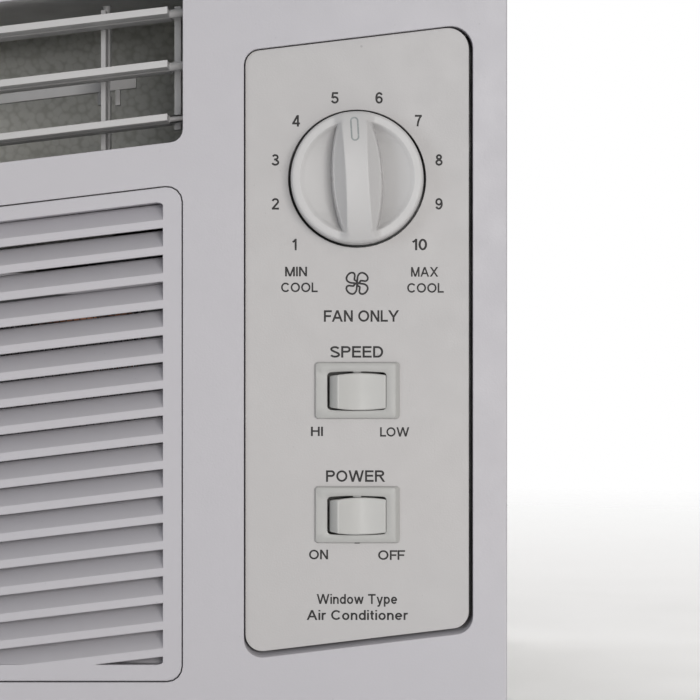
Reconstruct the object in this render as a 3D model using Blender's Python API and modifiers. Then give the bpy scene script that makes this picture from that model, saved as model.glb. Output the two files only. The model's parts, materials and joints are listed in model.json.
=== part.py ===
"""Window room air conditioner, modelled as the separate pieces it is built from.

Frame: +Z up, the room side faces -Y, +X is to the right as seen from the room.  The origin is
the middle of the footprint, at the bottom of the base pan.  Named sizes are in millimetres and
are turned into metres by MM.
"""

import math

import bmesh
import bpy
from mathutils import Matrix, Vector

MM = 0.001
OBJECT_NAME = "window_air_conditioner"

# ---------------------------------------------------------------- driving dimensions
WIDTH = 470.0
DEPTH = 394.0
HEIGHT = 318.0
SLANT = math.tan(math.radians(6.8))     # every long line of the front rises to the right
GAP = 0.3                               # least gap between touching pieces
SHEET = 1.2                             # steel sheet of the chassis

# Front fascia
KNOB_PROUD = 17.0
PANEL_FRONT = -DEPTH / 2 + KNOB_PROUD
FASCIA_FRONT = PANEL_FRONT - 1.4
FASCIA_BACK = -118.0
FASCIA_WALL = 2.7
FASCIA_BOTTOM = 2.0
FASCIA_TOP = 306.0
FASCIA_CORNER = 14.0
FASCIA_EDGE = 5.0

# Control panel, its middle on the switch column
PANEL_X = 179.0
PANEL_Z = 154.0
PANEL_W = 83.5
PANEL_H = 224.7
PANEL_T = 2.8
PANEL_RADII = (6.3, 6.3, 7.8, 5.6)      # lower left, lower right, upper right, upper left
PANEL_GAPS = (0.5, 1.5, 2.2, 0.4)       # left, right, bottom, top
COLLAR = 1.8
COLLAR_BACK = PANEL_FRONT + 7.6
COLLAR_DRAFT = 0.24                     # the collar's floor rises inwards

# Temperature knob
KNOB_Z = PANEL_Z + 60.0
KNOB_R = 24.85
KNOB_HOLE_R = 25.8
KNOB_RIM_R = 21.1
KNOB_RIM_PROUD = 8.0
KNOB_DISH_PROUD = 3.4
KNOB_BACK = PANEL_FRONT + 5.0
KNOB_REST = math.radians(3.0)           # the pointer rests a little left of the top
GRIP_BASE = (5.85, 9.25)                # half widths at the ends and in the middle
GRIP_TOP = (5.05, 4.25)
SHAFT_R = 3.0

# Rocker switches
SPEED_Z = PANEL_Z - 19.1
POWER_Z = PANEL_Z - 65.5
BEZEL_W = 31.8
BEZEL_H = 21.3
BEZEL_PROUD = 1.8
BEZEL_CORNER = 1.3
HOUSING_W = 27.6
HOUSING_H = 18.6
HOUSING_DEPTH = 22.0
WINDOW_W = 22.0
WINDOW_H = 14.0
WINDOW_DROP = 0.2                       # the window sits a little low in its bezel
WINDOW_BOW = 0.45
WINDOW_CORNER = 1.3
WINDOW_DEPTH = 14.0
ROCK = math.radians(11.0)
ROCKER_PIVOT_DEPTH = 7.26
ROCKER_CORNER = (9.118, 9.17)
ROCKER_HALF = 5.9
ROCKER_BOW = 1.05
ROCKER_DROP = 0.25                      # and the rocker a little low in its window

# Control box behind the panel
CONTROL_X = (134.0, 224.0)
CONTROL_Y = (-171.8, -112.0)
CONTROL_Z = (42.0, 268.0)
LINE_HOLE_Z = 198.5
CAN_R = 20.0
CAN_Y = -134.0

# Openings of the room side: discharge above, intake below
GRILLE_LEFT = -214.0
GRILLE_RIGHT = 114.0
DISCHARGE_TOP_RIGHT = 288.0
DISCHARGE_H = 60.0
INTAKE_TOP_RIGHT = 212.0
INTAKE_BOTTOM = 26.0
INTAKE_PITCH = 10.0
INTAKE_SLOT = 6.8
INTAKE_COLUMNS = 3
GRILLE_DEPTH = 8.0
SLAT_RISE = 6.4                         # each slat climbs this much towards the inside

# Filter that slides out to the left
FILTER_LEFT = -WIDTH / 2 + 0.6
FILTER_RIGHT = 108.0
FILTER_Z = (31.0, 176.0)
FILTER_Y = (-170.0, -164.0)
FILTER_BORDER = 9.0

# Air path and fan, all on one axis along Y
FAN_X = -55.0
FAN_Z = 140.0
BLOWER_R = 78.0
BLOWER_Y = (-92.0, -30.0)
BLADES = 20
SCROLL_Y = (-98.0, -20.0)
SCROLL_WALL = 3.0
SCROLL_R = (86.0, 112.0)                # the volute opens from one to the other
SCROLL_TURN = (158.0, 382.0)
SCROLL_TOP = 295.0
ORIFICE_R = 60.0
HOOD_WALL = 2.5
HOOD_BACK = -105.0
FRONT_PLATE_Y = (-104.6, -98.4)
LOUVER_Y = -167.0
LOUVER_CHORD = 23.0
LOUVERS = 3
VANE_Y = -139.0
VANE_CHORD = 24.0
VANES = 5
PIN_R = 1.5
LINK_ARM = 10.0
SHAFT_AXLE_R = 5.0
MOTOR_R = 52.0
MOTOR_Y = (0.0, 78.0)
COND_FAN_R = 106.0
COND_FAN_Y = (104.0, 130.0)

# Chassis
BULKHEAD_Y = -14.0
PAN_X = 229.8
PAN_Y = (-166.0, 194.0)
PAN_H = 26.0
WRAP_X = 231.5
WRAP_Y = (-126.0, DEPTH / 2)
WRAP_Z = (5.5, 302.5)
WRAP_SHEET = 1.0
WRAP_CORNER = 12.0
RAIL_LENGTH = 400.0
RAIL_Y = -40.0
RAIL_LEG = 24.0
RAIL_SHEET = 1.5
SCREW_Y = (-100.0, 150.0)
SCREW_Z = 15.0
GLAND_Y = -101.5
RAIL_SCREWS = (-150.0, 150.0)

VENT_SIDE = (64.0, 7.0, 76.0, 20.0)     # length, height and the two pitches
VENT_TOP = (72.0, 6.0, 88.0, 20.0)

# Refrigeration
EVAP = ((-210.0, 98.0), (-150.0, -114.0), (34.0, 180.0))
COND = ((-208.0, 200.0), (152.0, 188.0), (10.0, 288.0))
TUBE_R = 4.5
BEND_ROWS = 5
COMP_X = 140.0
COMP_Y = 41.0
COMP_R = 50.0
COMP_Z = (20.0, 200.0)
SHROUD_X = (-219.0, 214.0)
SHROUD_Y = (97.0, 149.0)
SHROUD_Z = (5.0, 294.0)
SHROUD_SHEET = 2.0
EAR_RING = 45.0                         # grommet circle of the compressor's foot
EAR_R = 9.0
ACCUM_X = 209.0

# ---------------------------------------------------------------- materials
WHITE_ABS = ("white_abs", (0.62, 0.61, 0.60), 0.42, 0.0)
PANEL_ABS = ("panel_abs", (0.56, 0.54, 0.53), 0.45, 0.0)
KNOB_ABS = ("knob_abs", (0.60, 0.60, 0.60), 0.35, 0.0)
SWITCH_NYLON = ("switch_nylon", (0.52, 0.52, 0.50), 0.45, 0.0)
PAINTED = ("painted_steel", (0.60, 0.60, 0.58), 0.40, 0.0)
GALVANISED = ("galvanised_steel", (0.50, 0.51, 0.52), 0.42, 1.0)
BLACK_STEEL = ("black_enamel", (0.02, 0.02, 0.02), 0.35, 0.0)
ALUMINIUM = ("fin_aluminium", (0.75, 0.76, 0.77), 0.35, 1.0)
COPPER = ("copper_tube", (0.72, 0.38, 0.24), 0.35, 1.0)
DARK_PLASTIC = ("dark_plastic", (0.05, 0.05, 0.055), 0.5, 0.0)
DUCT_FOAM = ("duct_foam", (0.74, 0.74, 0.72), 0.8, 0.0)
FILTER_NET = ("filter_net", (0.10, 0.13, 0.16), 0.7, 0.0)
RUBBER = ("grommet_rubber", (0.03, 0.03, 0.03), 0.8, 0.0)
ZINC = ("zinc_plated", (0.62, 0.62, 0.60), 0.35, 1.0)
CAN_METAL = ("can_aluminium", (0.70, 0.70, 0.70), 0.35, 1.0)


def clear_scene():
    for old in list(bpy.data.objects):
        bpy.data.objects.remove(old, do_unlink=True)


def new_collection(name):
    collection = bpy.data.collections.new(name)
    bpy.context.scene.collection.children.link(collection)
    return collection


def material(spec):
    name, colour, roughness, metallic = spec
    made = bpy.data.materials.get(name)
    if made is None:
        made = bpy.data.materials.new(name)
        made.use_nodes = True
        shader = made.node_tree.nodes["Principled BSDF"]
        shader.inputs["Base Color"].default_value = (*colour, 1.0)
        shader.inputs["Roughness"].default_value = roughness
        shader.inputs["Metallic"].default_value = metallic
    return made


# ---------------------------------------------------------------- modelling helpers
def add(name, mesh, spec=None, at=(0, 0, 0)):
    """A named piece, or a cutter when it has no material."""
    thing = bpy.data.objects.new(name, mesh)
    thing.location = Vector(at) * MM
    if spec is None:
        CUTTERS.objects.link(thing)
        thing.hide_render = True
        thing.display_type = "WIRE"
    else:
        PARTS.objects.link(thing)
        mesh.materials.clear()
        mesh.materials.append(material(spec))
    return thing


def mesh_from(name, bm):
    mesh = bpy.data.meshes.new(name)
    bm.to_mesh(mesh)
    bm.free()
    return mesh


def box(name, x, y, z, spec=None):
    """A block between (low, high) pairs."""
    centre = [(pair[0] + pair[1]) / 2 for pair in (x, y, z)]
    size = [(pair[1] - pair[0]) * MM for pair in (x, y, z)]
    bm = bmesh.new()
    bmesh.ops.create_cube(bm, size=1.0)
    bmesh.ops.scale(bm, vec=size, verts=bm.verts)
    return add(name, mesh_from(name, bm), spec, centre)


def rod(name, at, axis, radius, length, spec=None, sides=24, tip=None):
    """A cylinder or a cone centred on a point, along X, Y or Z."""
    bm = bmesh.new()
    bmesh.ops.create_cone(
        bm, cap_ends=True, segments=sides, radius1=radius * MM,
        radius2=(radius if tip is None else tip) * MM, depth=length * MM)
    turn = {
        "X": Matrix.Rotation(math.pi / 2, 4, "Y"),
        "Y": Matrix.Rotation(-math.pi / 2, 4, "X"),
        "Z": Matrix.Identity(4),
    }[axis]
    bmesh.ops.transform(bm, matrix=turn, verts=bm.verts)
    thing = add(name, mesh_from(name, bm), spec, at)
    smooth(thing)
    return thing


def smooth(thing, angle=35.0):
    thing.data.shade_smooth()
    thing.data.set_sharp_from_angle(angle=math.radians(angle))


def turned(name, profile, at, axis, spec=None, steps=32):
    """A profile of (radius, height) turned about Z, or about Y with height along +Y."""
    bm = bmesh.new()
    points = [bm.verts.new((r * MM, 0, h * MM)) for r, h in profile]
    closed = profile[0][0] > 0
    count = len(points)
    for i in range(count if closed else count - 1):
        bm.edges.new((points[i], points[(i + 1) % count]))
    thing = add(name, mesh_from(name, bm), spec, at)
    if axis == "Y":
        thing.rotation_euler = (-math.pi / 2, 0, 0)
    screw = thing.modifiers.new("turn", "SCREW")
    screw.steps = steps
    screw.render_steps = steps
    screw.use_merge_vertices = True
    screw.merge_threshold = 0.00001
    screw.use_smooth_shade = True
    return thing


def as_mesh(curve_object, spec):
    """Turns a curve into a closed mesh object in the same place."""
    bpy.context.view_layer.update()
    evaluated = curve_object.evaluated_get(bpy.context.evaluated_depsgraph_get())
    mesh = bpy.data.meshes.new_from_object(evaluated)
    bm = bmesh.new()
    bm.from_mesh(mesh)
    bmesh.ops.remove_doubles(bm, verts=bm.verts, dist=0.00001)
    bm.to_mesh(mesh)
    bm.free()
    name = curve_object.name
    place = curve_object.matrix_world.copy()
    bpy.data.objects.remove(curve_object, do_unlink=True)
    thing = add(name, mesh, spec)
    thing.matrix_world = place
    return thing


def tube(name, points, radius, spec=None, resolution=2):
    """A round tube with closed ends along points in millimetres."""
    curve = bpy.data.curves.new(name, "CURVE")
    curve.dimensions = "3D"
    curve.bevel_depth = radius * MM
    curve.bevel_resolution = resolution
    curve.use_fill_caps = True
    spline = curve.splines.new("POLY")
    spline.points.add(len(points) - 1)
    for point, place in zip(spline.points, points):
        point.co = (*(Vector(place) * MM), 1.0)
    holder = bpy.data.objects.new(name, curve)
    bpy.context.scene.collection.objects.link(holder)
    thing = as_mesh(holder, spec)
    smooth(thing, 50)
    return thing


def plate(name, outline, y, spec=None):
    """A flat outline of (x, z) points in the front plane, thick between two Y values."""
    curve = bpy.data.curves.new(name, "CURVE")
    curve.dimensions = "2D"
    curve.fill_mode = "BOTH"
    curve.extrude = (y[1] - y[0]) / 2 * MM
    spline = curve.splines.new("POLY")
    spline.use_cyclic_u = True
    spline.points.add(len(outline) - 1)
    for point, (u, v) in zip(spline.points, outline):
        point.co = (u * MM, v * MM, 0, 1)
    holder = bpy.data.objects.new(name, curve)
    holder.rotation_euler = (math.pi / 2, 0, 0)
    holder.location = (0, (y[0] + y[1]) / 2 * MM, 0)
    bpy.context.scene.collection.objects.link(holder)
    return as_mesh(holder, spec)


def fillet(corners, radii, segments=8):
    """Rounds the corners of a counter-clockwise outline."""
    points = []
    count = len(corners)
    for i, corner in enumerate(corners):
        here = Vector(corner)
        to_last = (Vector(corners[i - 1]) - here).normalized()
        to_next = (Vector(corners[(i + 1) % count]) - here).normalized()
        half = to_last.angle(to_next) / 2
        reach = radii[i] / math.tan(half)
        centre = here + (to_last + to_next).normalized() * radii[i] / math.sin(half)
        start = here + to_last * reach - centre
        sweep = math.pi - 2 * half
        for step in range(segments + 1):
            turn = Matrix.Rotation(sweep * step / segments, 2)
            points.append(tuple(centre + turn @ start))
    return points


def rectangle(x, z, radius, segments=4):
    corners = ((x[0], z[0]), (x[1], z[0]), (x[1], z[1]), (x[0], z[1]))
    return fillet(corners, (radius,) * 4, segments)


def slanted(x, z_right_end, height, right_x):
    """Corners of a parallelogram with upright sides, given the top at right_x."""
    def top(at):
        return z_right_end + SLANT * (at - right_x)
    return ((x[0], top(x[0]) - height), (x[1], top(x[1]) - height), (x[1], top(x[1])),
            (x[0], top(x[0])))


def slant(thing, x0):
    """Leans a piece so that its level lines rise to the right, level at x0."""
    lean = Matrix.Identity(4)
    lean[2][0] = SLANT
    thing.data.transform(lean)
    thing.location.z += SLANT * (thing.location.x - x0 * MM)
    return thing


def combine(thing, other, operation):
    step = thing.modifiers.new(operation.lower(), "BOOLEAN")
    step.operation = operation
    step.solver = "EXACT"
    step.object = other
    return thing


def cut(thing, *others):
    for other in others:
        combine(thing, other, "DIFFERENCE")
    return thing


def join(thing, *others):
    for other in others:
        combine(thing, other, "UNION")
    return thing


def merged(name, things):
    """One cutter mesh made of several that don't touch."""
    bm = bmesh.new()
    for thing in things:
        mesh = thing.data
        mesh.transform(thing.matrix_basis)
        bm.from_mesh(mesh)
        bpy.data.objects.remove(thing, do_unlink=True)
    return add(name, mesh_from(name, bm))


def round_edges(thing, width, segments=2, angle=40.0):
    step = thing.modifiers.new("round", "BEVEL")
    step.width = width * MM
    step.segments = segments
    step.limit_method = "ANGLE"
    step.angle_limit = math.radians(angle)
    return thing


def round_front(thing, width, segments=3):
    """Rounds only the edges in the front plane of a plate."""
    bm = bmesh.new()
    bm.from_mesh(thing.data)
    front = max(v.co.z for v in bm.verts)
    edges = []
    for edge in bm.edges:
        flat = all(abs(v.co.z - front) < 0.00001 for v in edge.verts)
        outer = any(abs(face.normal.z) < 0.5 for face in edge.link_faces)
        if flat and outer:
            edges.append(edge)
    bmesh.ops.bevel(bm, geom=edges, offset=width * MM, segments=segments, profile=0.5,
                    affect="EDGES", clamp_overlap=True)
    bm.to_mesh(thing.data)
    bm.free()
    smooth(thing, 30)
    return thing


def smooth_path(points, steps=4):
    """Catmull-Rom points through a hand-set route."""
    route = [Vector(p) for p in points]
    ends = [route[0] * 2 - route[1]] + route + [route[-1] * 2 - route[-2]]
    made = []
    for i in range(1, len(ends) - 2):
        a, b, c, d = ends[i - 1:i + 3]
        for step in range(steps):
            t = step / steps
            made.append(0.5 * (2 * b + (c - a) * t + (2 * a - 5 * b + 4 * c - d) * t * t
                               + (3 * b - a - 3 * c + d) * t ** 3))
    made.append(route[-1])
    return made


# ---------------------------------------------------------------- front
def panel_corners():
    left = PANEL_X - PANEL_W / 2
    right = PANEL_X + PANEL_W / 2
    top = PANEL_Z + PANEL_H / 2 + SLANT * PANEL_W / 2
    return slanted((left, right), top, PANEL_H, right)


def panel_opening(grow=0.0):
    lower_left, lower_right, upper_right, upper_left = panel_corners()
    left, right, bottom, top = (g + grow for g in PANEL_GAPS)
    corners = (
        (lower_left[0] - left, lower_left[1] - bottom - SLANT * left),
        (lower_right[0] + right, lower_right[1] - bottom + SLANT * right),
        (upper_right[0] + right, upper_right[1] + top + SLANT * right),
        (upper_left[0] - left, upper_left[1] + top - SLANT * left),
    )
    return fillet(corners, [r + grow + 0.5 for r in PANEL_RADII])


def discharge_outline(grow=0.0):
    corners = slanted((GRILLE_LEFT - grow, GRILLE_RIGHT + grow),
                      DISCHARGE_TOP_RIGHT + grow, DISCHARGE_H + 2 * grow, GRILLE_RIGHT)
    return fillet(corners, (5.0 + grow,) * 4, 4)


def intake_corners(grow=0.0):
    left = GRILLE_LEFT - grow
    right = GRILLE_RIGHT + grow
    top_left = INTAKE_TOP_RIGHT + grow + SLANT * (left - GRILLE_RIGHT)
    top_right = INTAKE_TOP_RIGHT + grow
    bottom = INTAKE_BOTTOM - grow
    return ((left, bottom), (right, bottom), (right, top_right), (left, top_left))


def intake_outline(grow=0.0):
    return fillet(intake_corners(grow), (6.0 + grow,) * 4, 4)


def build_fascia():
    half = WIDTH / 2
    fascia = plate(
        "front_fascia",
        rectangle((-half, half), (FASCIA_BOTTOM, FASCIA_TOP), FASCIA_CORNER, 5),
        (FASCIA_FRONT, FASCIA_BACK), WHITE_ABS)
    round_front(fascia, FASCIA_EDGE)
    wall = FASCIA_WALL
    hollow = plate(
        "fascia_hollow",
        rectangle((-half + wall, half - wall), (FASCIA_BOTTOM + wall, FASCIA_TOP - wall),
                  FASCIA_CORNER - wall, 5),
        (FASCIA_FRONT + wall, FASCIA_BACK + 5))
    collar = plate("panel_collar", panel_opening(COLLAR),
                   (FASCIA_FRONT + wall - 0.5, COLLAR_BACK))
    opening = plate("panel_opening", panel_opening(), (FASCIA_FRONT - 5, COLLAR_BACK + 5))
    for vertex in opening.data.vertices:
        if vertex.co.y < PANEL_Z * MM:
            inwards = opening.location.y - vertex.co.z - FASCIA_FRONT * MM
            vertex.co.y += inwards * COLLAR_DRAFT
    discharge = plate("discharge_opening", discharge_outline(), (FASCIA_FRONT - 5, -170))
    intake = plate("intake_opening", intake_outline(), (FASCIA_FRONT - 5, -165))
    under = box("pan_notch", (-232.2, 232.2), (PAN_Y[0] - 1.5, FASCIA_BACK + 5), (-5, 20))
    slot = box("filter_slot", (-WIDTH / 2 - 5, -200), (FILTER_Y[0] - 1, FILTER_Y[1] + 1),
               (FILTER_Z[0] - 1.2, FILTER_Z[1] + 1.2))
    cut(fascia, hollow)
    join(fascia, collar)
    cut(fascia, opening, discharge, intake, under, slot)


def build_panel():
    panel = plate("control_panel", fillet(panel_corners(), PANEL_RADII),
                  (PANEL_FRONT, PANEL_FRONT + PANEL_T), PANEL_ABS)
    round_front(panel, 0.8, 2)
    cut(panel, rod("knob_well", (PANEL_X, PANEL_FRONT, KNOB_Z), "Y", KNOB_HOLE_R, 20, sides=64))
    for label, z in (("speed", SPEED_Z), ("power", POWER_Z)):
        cut(panel, box(label + "_cutout",
                       (PANEL_X - HOUSING_W / 2 - GAP, PANEL_X + HOUSING_W / 2 + GAP),
                       (PANEL_FRONT - 5, PANEL_FRONT + 10),
                       (z - HOUSING_H / 2 - GAP, z + HOUSING_H / 2 + GAP)))


def build_grille():
    front = FASCIA_FRONT + 0.6
    grille = plate("intake_grille", intake_outline(-0.5), (front, front + GRILLE_DEPTH),
                   WHITE_ABS)
    slots = []
    bottom = INTAKE_BOTTOM - 40.0
    rows = int((INTAKE_TOP_RIGHT - bottom) / INTAKE_PITCH)
    width = (GRILLE_RIGHT - GRILLE_LEFT - 12.0) / INTAKE_COLUMNS
    for row in range(rows):
        z = INTAKE_TOP_RIGHT - 9.0 - row * INTAKE_PITCH
        for column in range(INTAKE_COLUMNS):
            x = GRILLE_LEFT + 7.5 + column * width
            name = "slot_%d_%d" % (row, column)
            slot = box(name, (x, x + width - 3.0), (front - 5, front + GRILLE_DEPTH + 5),
                       (z - INTAKE_SLOT / 2, z + INTAKE_SLOT / 2))
            slant(slot, GRILLE_RIGHT)
            for vertex in slot.data.vertices:
                inwards = slot.location.y + vertex.co.y - front * MM
                vertex.co.z += inwards * SLAT_RISE / GRILLE_DEPTH
            slots.append(slot)
    window = plate("intake_window", fillet(intake_corners(-6.5), (3.0,) * 4, 3),
                   (front - 4, front + GRILLE_DEPTH + 4))
    openings = merged("intake_slots", slots)
    combine(openings, window, "INTERSECT")
    cut(grille, openings)


def build_filter():
    x = (FILTER_LEFT, FILTER_RIGHT)
    frame = box("filter_frame", x, FILTER_Y, FILTER_Z, DARK_PLASTIC)
    inner_x = (GRILLE_LEFT + 3.0, FILTER_RIGHT - FILTER_BORDER)
    inner_z = (FILTER_Z[0] + FILTER_BORDER, FILTER_Z[1] - FILTER_BORDER)
    cut(frame, box("filter_window", inner_x, (FILTER_Y[0] - 5, FILTER_Y[1] + 5), inner_z))
    middle = sum(FILTER_Y) / 2
    box("filter_net", (inner_x[0] + GAP, inner_x[1] - GAP), (middle - 0.6, middle + 0.6),
        (inner_z[0] + GAP, inner_z[1] - GAP), FILTER_NET)
    for label, z, inward in (("lower", FILTER_Z[0], 1), ("upper", FILTER_Z[1], -1)):
        near = z - 3.0 * inward
        far = z + 5.0 * inward
        low, high = min(near, far), max(near, far)
        guide = box("filter_guide_" + label, (-214.0, 112.0), (FILTER_Y[0] - 2.2, FILTER_Y[1] + 2.2),
                    (low, high), WHITE_ABS)
        groove_near = z - 0.6 * inward
        groove_far = z + 8.0 * inward
        groove = box("groove_" + label, (-230.0, 130.0), (FILTER_Y[0] - 0.5, FILTER_Y[1] + 0.5),
                     (min(groove_near, groove_far), max(groove_near, groove_far)))
        cut(guide, groove)


# ---------------------------------------------------------------- controls
def grip_half_width(ends_and_middle, z):
    """Barrel outline: widest or narrowest in the middle of the grip."""
    ends, middle = ends_and_middle
    t = abs(z) / KNOB_R
    return middle + (ends - middle) * t * t


def build_knob():
    rim = -KNOB_RIM_PROUD
    back = KNOB_BACK - PANEL_FRONT
    profile = [
        (0.0, -KNOB_DISH_PROUD), (8.0, -KNOB_DISH_PROUD), (14.0, -KNOB_DISH_PROUD - 1.2),
        (18.5, rim + 1.4), (KNOB_RIM_R, rim), (KNOB_R - 1.4, rim), (KNOB_R - 0.4, rim + 0.7),
        (KNOB_R, rim + 2.4), (KNOB_R, back), (SHAFT_R + 5.0, back), (SHAFT_R + 5.0, back + 2.0),
        (SHAFT_R + GAP, back + 2.0), (SHAFT_R + GAP, -2.0), (0.0, -2.0),
    ]
    knob = turned("temperature_knob", list(reversed(profile)), (PANEL_X, PANEL_FRONT, KNOB_Z),
                  "Y", KNOB_ABS, 40)
    bm = bmesh.new()
    rings = []
    sections = 10
    for i in range(sections + 1):
        z = -KNOB_R + 2 * KNOB_R * i / sections
        base = grip_half_width(GRIP_BASE, z)
        top = grip_half_width(GRIP_TOP, z)
        rise = KNOB_RIM_PROUD + (KNOB_PROUD - KNOB_RIM_PROUD) * (1 - (abs(z) / KNOB_R) ** 2.4)
        ring = []
        for x, y in ((-base, -2.6), (-base, -KNOB_DISH_PROUD), (-top, -rise + 0.7),
                     (-top + 0.7, -rise), (top - 0.7, -rise), (top, -rise + 0.7),
                     (base, -KNOB_DISH_PROUD), (base, -2.6)):
            ring.append(bm.verts.new((x * MM, y * MM, z * MM)))
        rings.append(ring)
    for low, high in zip(rings, rings[1:]):
        for i in range(len(low)):
            j = (i + 1) % len(low)
            bm.faces.new((low[i], high[i], high[j], low[j]))
    bm.faces.new(rings[0])
    bm.faces.new(list(reversed(rings[-1])))
    bmesh.ops.recalc_face_normals(bm, faces=bm.faces)
    grip = add("knob_grip", mesh_from("knob_grip", bm), None, (PANEL_X, PANEL_FRONT, KNOB_Z))
    grip.rotation_euler = (0, -KNOB_REST, 0)
    trim = rod("knob_trim", (PANEL_X, PANEL_FRONT - 10, KNOB_Z), "Y", KNOB_R - 0.3, 40, sides=48)
    combine(grip, trim, "INTERSECT")
    join(knob, grip)
    rod("thermostat_shaft", (PANEL_X, PANEL_FRONT + 4.5, KNOB_Z), "Y", SHAFT_R, 12.4, ZINC, 20)


def build_thermostat():
    body = box("thermostat_body", (PANEL_X - 22, PANEL_X + 22), (-168.6, -140.0),
               (KNOB_Z - 19, KNOB_Z + 19), GALVANISED)
    round_edges(body, 1.5, 2)
    route = smooth_path([(PANEL_X - 22.4, -150, KNOB_Z - 12), (148, -150, KNOB_Z - 14),
                         (132, -150, 197), (118, -153, 188), (106, -156, 176), (92, -156.5, 165),
                         (80, -156.5, 163)], 2)
    tube("thermostat_line", route, 1.2, COPPER, 1)
    rod("thermostat_bulb", (47.7, -156.5, 163), "X", 3.2, 64.0, COPPER, 16)


def window_outline(z):
    """The switch's window: rounded, its long edges bowed outwards."""
    half_w = WINDOW_W / 2
    half_h = WINDOW_H / 2
    lower = []
    for u, v in fillet(((-half_w, -half_h), (half_w, -half_h), (half_w, half_h),
                        (-half_w, half_h)), (WINDOW_CORNER,) * 4, 3):
        if v < 0:
            lower.append((u, v))
    lower += [(u, -half_h) for u in (-6.0, 0.0, 6.0)]
    lower.sort()
    bowed = [(u, v - WINDOW_BOW * (1 - (u / half_w) ** 2)) for u, v in lower]
    upper = [(u, -v) for u, v in reversed(bowed)]
    return [(PANEL_X + u, z + v) for u, v in bowed + upper]


def build_switch(label, z):
    front = PANEL_FRONT - BEZEL_PROUD
    body = plate(label + "_switch_body",
                 rectangle((PANEL_X - BEZEL_W / 2, PANEL_X + BEZEL_W / 2),
                           (z - BEZEL_H / 2, z + BEZEL_H / 2), BEZEL_CORNER, 3),
                 (front, PANEL_FRONT - GAP), SWITCH_NYLON)
    round_front(body, 0.7, 2)
    housing = box(label + "_housing", (PANEL_X - HOUSING_W / 2, PANEL_X + HOUSING_W / 2),
                  (front + 0.6, front + HOUSING_DEPTH), (z - HOUSING_H / 2, z + HOUSING_H / 2))
    join(body, housing)
    for i in (-1, 0, 1):
        join(body, box("%s_tab_%d" % (label, i), (PANEL_X + 8 * i - 0.4, PANEL_X + 8 * i + 0.4),
                       (front + HOUSING_DEPTH - 1, front + HOUSING_DEPTH + 8), (z - 3.15, z + 3.15)))
    middle_z = z - WINDOW_DROP
    window = plate(label + "_window", window_outline(middle_z), (front - 5, front + WINDOW_DEPTH))
    pivot_y = front + ROCKER_PIVOT_DEPTH
    socket = rod(label + "_socket", (PANEL_X, pivot_y, middle_z), "Z", PIN_R + 0.4, 17.6, sides=16)
    cut(body, window, socket)

    corner_x, corner_y = ROCKER_CORNER
    middle = ROCKER_PIVOT_DEPTH / math.cos(ROCK)
    face = []
    for i in range(9):
        u = -corner_x + 2 * corner_x * i / 8
        face.append((u, middle + (corner_y - middle) * abs(u / corner_x) ** 1.4))
    outline = face + [(10.5, 2.0), (9.5, -2.0), (0.0, -4.0), (-9.5, -2.0), (-10.5, 2.0)]
    rocker = plate(label + "_rocker", list(reversed(outline)), (-1.0, 1.0), SWITCH_NYLON)
    for vertex in rocker.data.vertices:
        u = vertex.co.x / MM
        half = ROCKER_HALF + ROCKER_BOW * (1 - (u / 10.5) ** 2)
        vertex.co.z = math.copysign(half * MM, vertex.co.z)
    rocker.rotation_euler = (math.pi, 0, ROCK)
    rocker.data.transform(Matrix.Scale(-1, 4, (0, 0, 1)))
    rocker.data.flip_normals()
    rocker.location = Vector((PANEL_X, pivot_y, middle_z - ROCKER_DROP)) * MM
    pin = rod(label + "_pin", (PANEL_X, pivot_y, middle_z), "Z", PIN_R, 16.4, sides=16)
    join(rocker, pin)


def build_control_box():
    x, y, z = CONTROL_X, CONTROL_Y, CONTROL_Z
    shell = box("control_box", x, y, z, BLACK_STEEL)
    inner = [(pair[0] + SHEET, pair[1] - SHEET) for pair in (x, y, z)]
    cut(shell, box("control_hollow", inner[0], (inner[1][0], y[1] + 5), inner[2]))
    cut(shell, rod("shaft_hole", (PANEL_X, y[0], KNOB_Z), "Y", SHAFT_R + 2.0, 12, sides=20))
    for label, at in (("speed", SPEED_Z), ("power", POWER_Z)):
        cut(shell, box(label + "_plate_hole",
                       (PANEL_X - HOUSING_W / 2 - GAP, PANEL_X + HOUSING_W / 2 + GAP),
                       (y[0] - 5, y[0] + 5),
                       (at - HOUSING_H / 2 - GAP, at + HOUSING_H / 2 + GAP)))
    cut(shell, rod("line_hole", (x[0], -150, LINE_HOLE_Z), "X", 4.0, 10, sides=12))
    cut(shell, rod("lead_hole", (x[0] + 45, -125, z[0]), "Z", 5.0, 10, sides=12))
    profile = [(0, 46), (CAN_R - 1, 46), (CAN_R, 45), (CAN_R, 12), (CAN_R - 1, 11), (0, 11)]
    floor = z[0] + SHEET
    turned("run_capacitor", profile, (PANEL_X, CAN_Y, floor - 9), "Z", CAN_METAL, 28)
    band = [(CAN_R + 1.4, 6), (CAN_R + 1.4, -6), (CAN_R + 0.4, -6), (CAN_R + 0.4, 6)]
    strap = turned("capacitor_strap", band, (PANEL_X, CAN_Y, floor + 18), "Z", ZINC, 28)
    join(strap, box("strap_tab", (PANEL_X + CAN_R + 0.8, x[1] - SHEET - GAP),
                    (CAN_Y - 2, CAN_Y + 2), (floor + 13, floor + 23)))


# ---------------------------------------------------------------- discharge
def build_hood():
    hood = plate("discharge_hood", discharge_outline(HOOD_WALL), (FASCIA_FRONT + 3.1, HOOD_BACK),
                 WHITE_ABS)
    cut(hood, plate("hood_hollow", discharge_outline(0.0), (-200, HOOD_BACK + 5)))
    return hood


def discharge_middle(x):
    return DISCHARGE_TOP_RIGHT - DISCHARGE_H / 2 + SLANT * (x - GRILLE_RIGHT)


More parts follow.
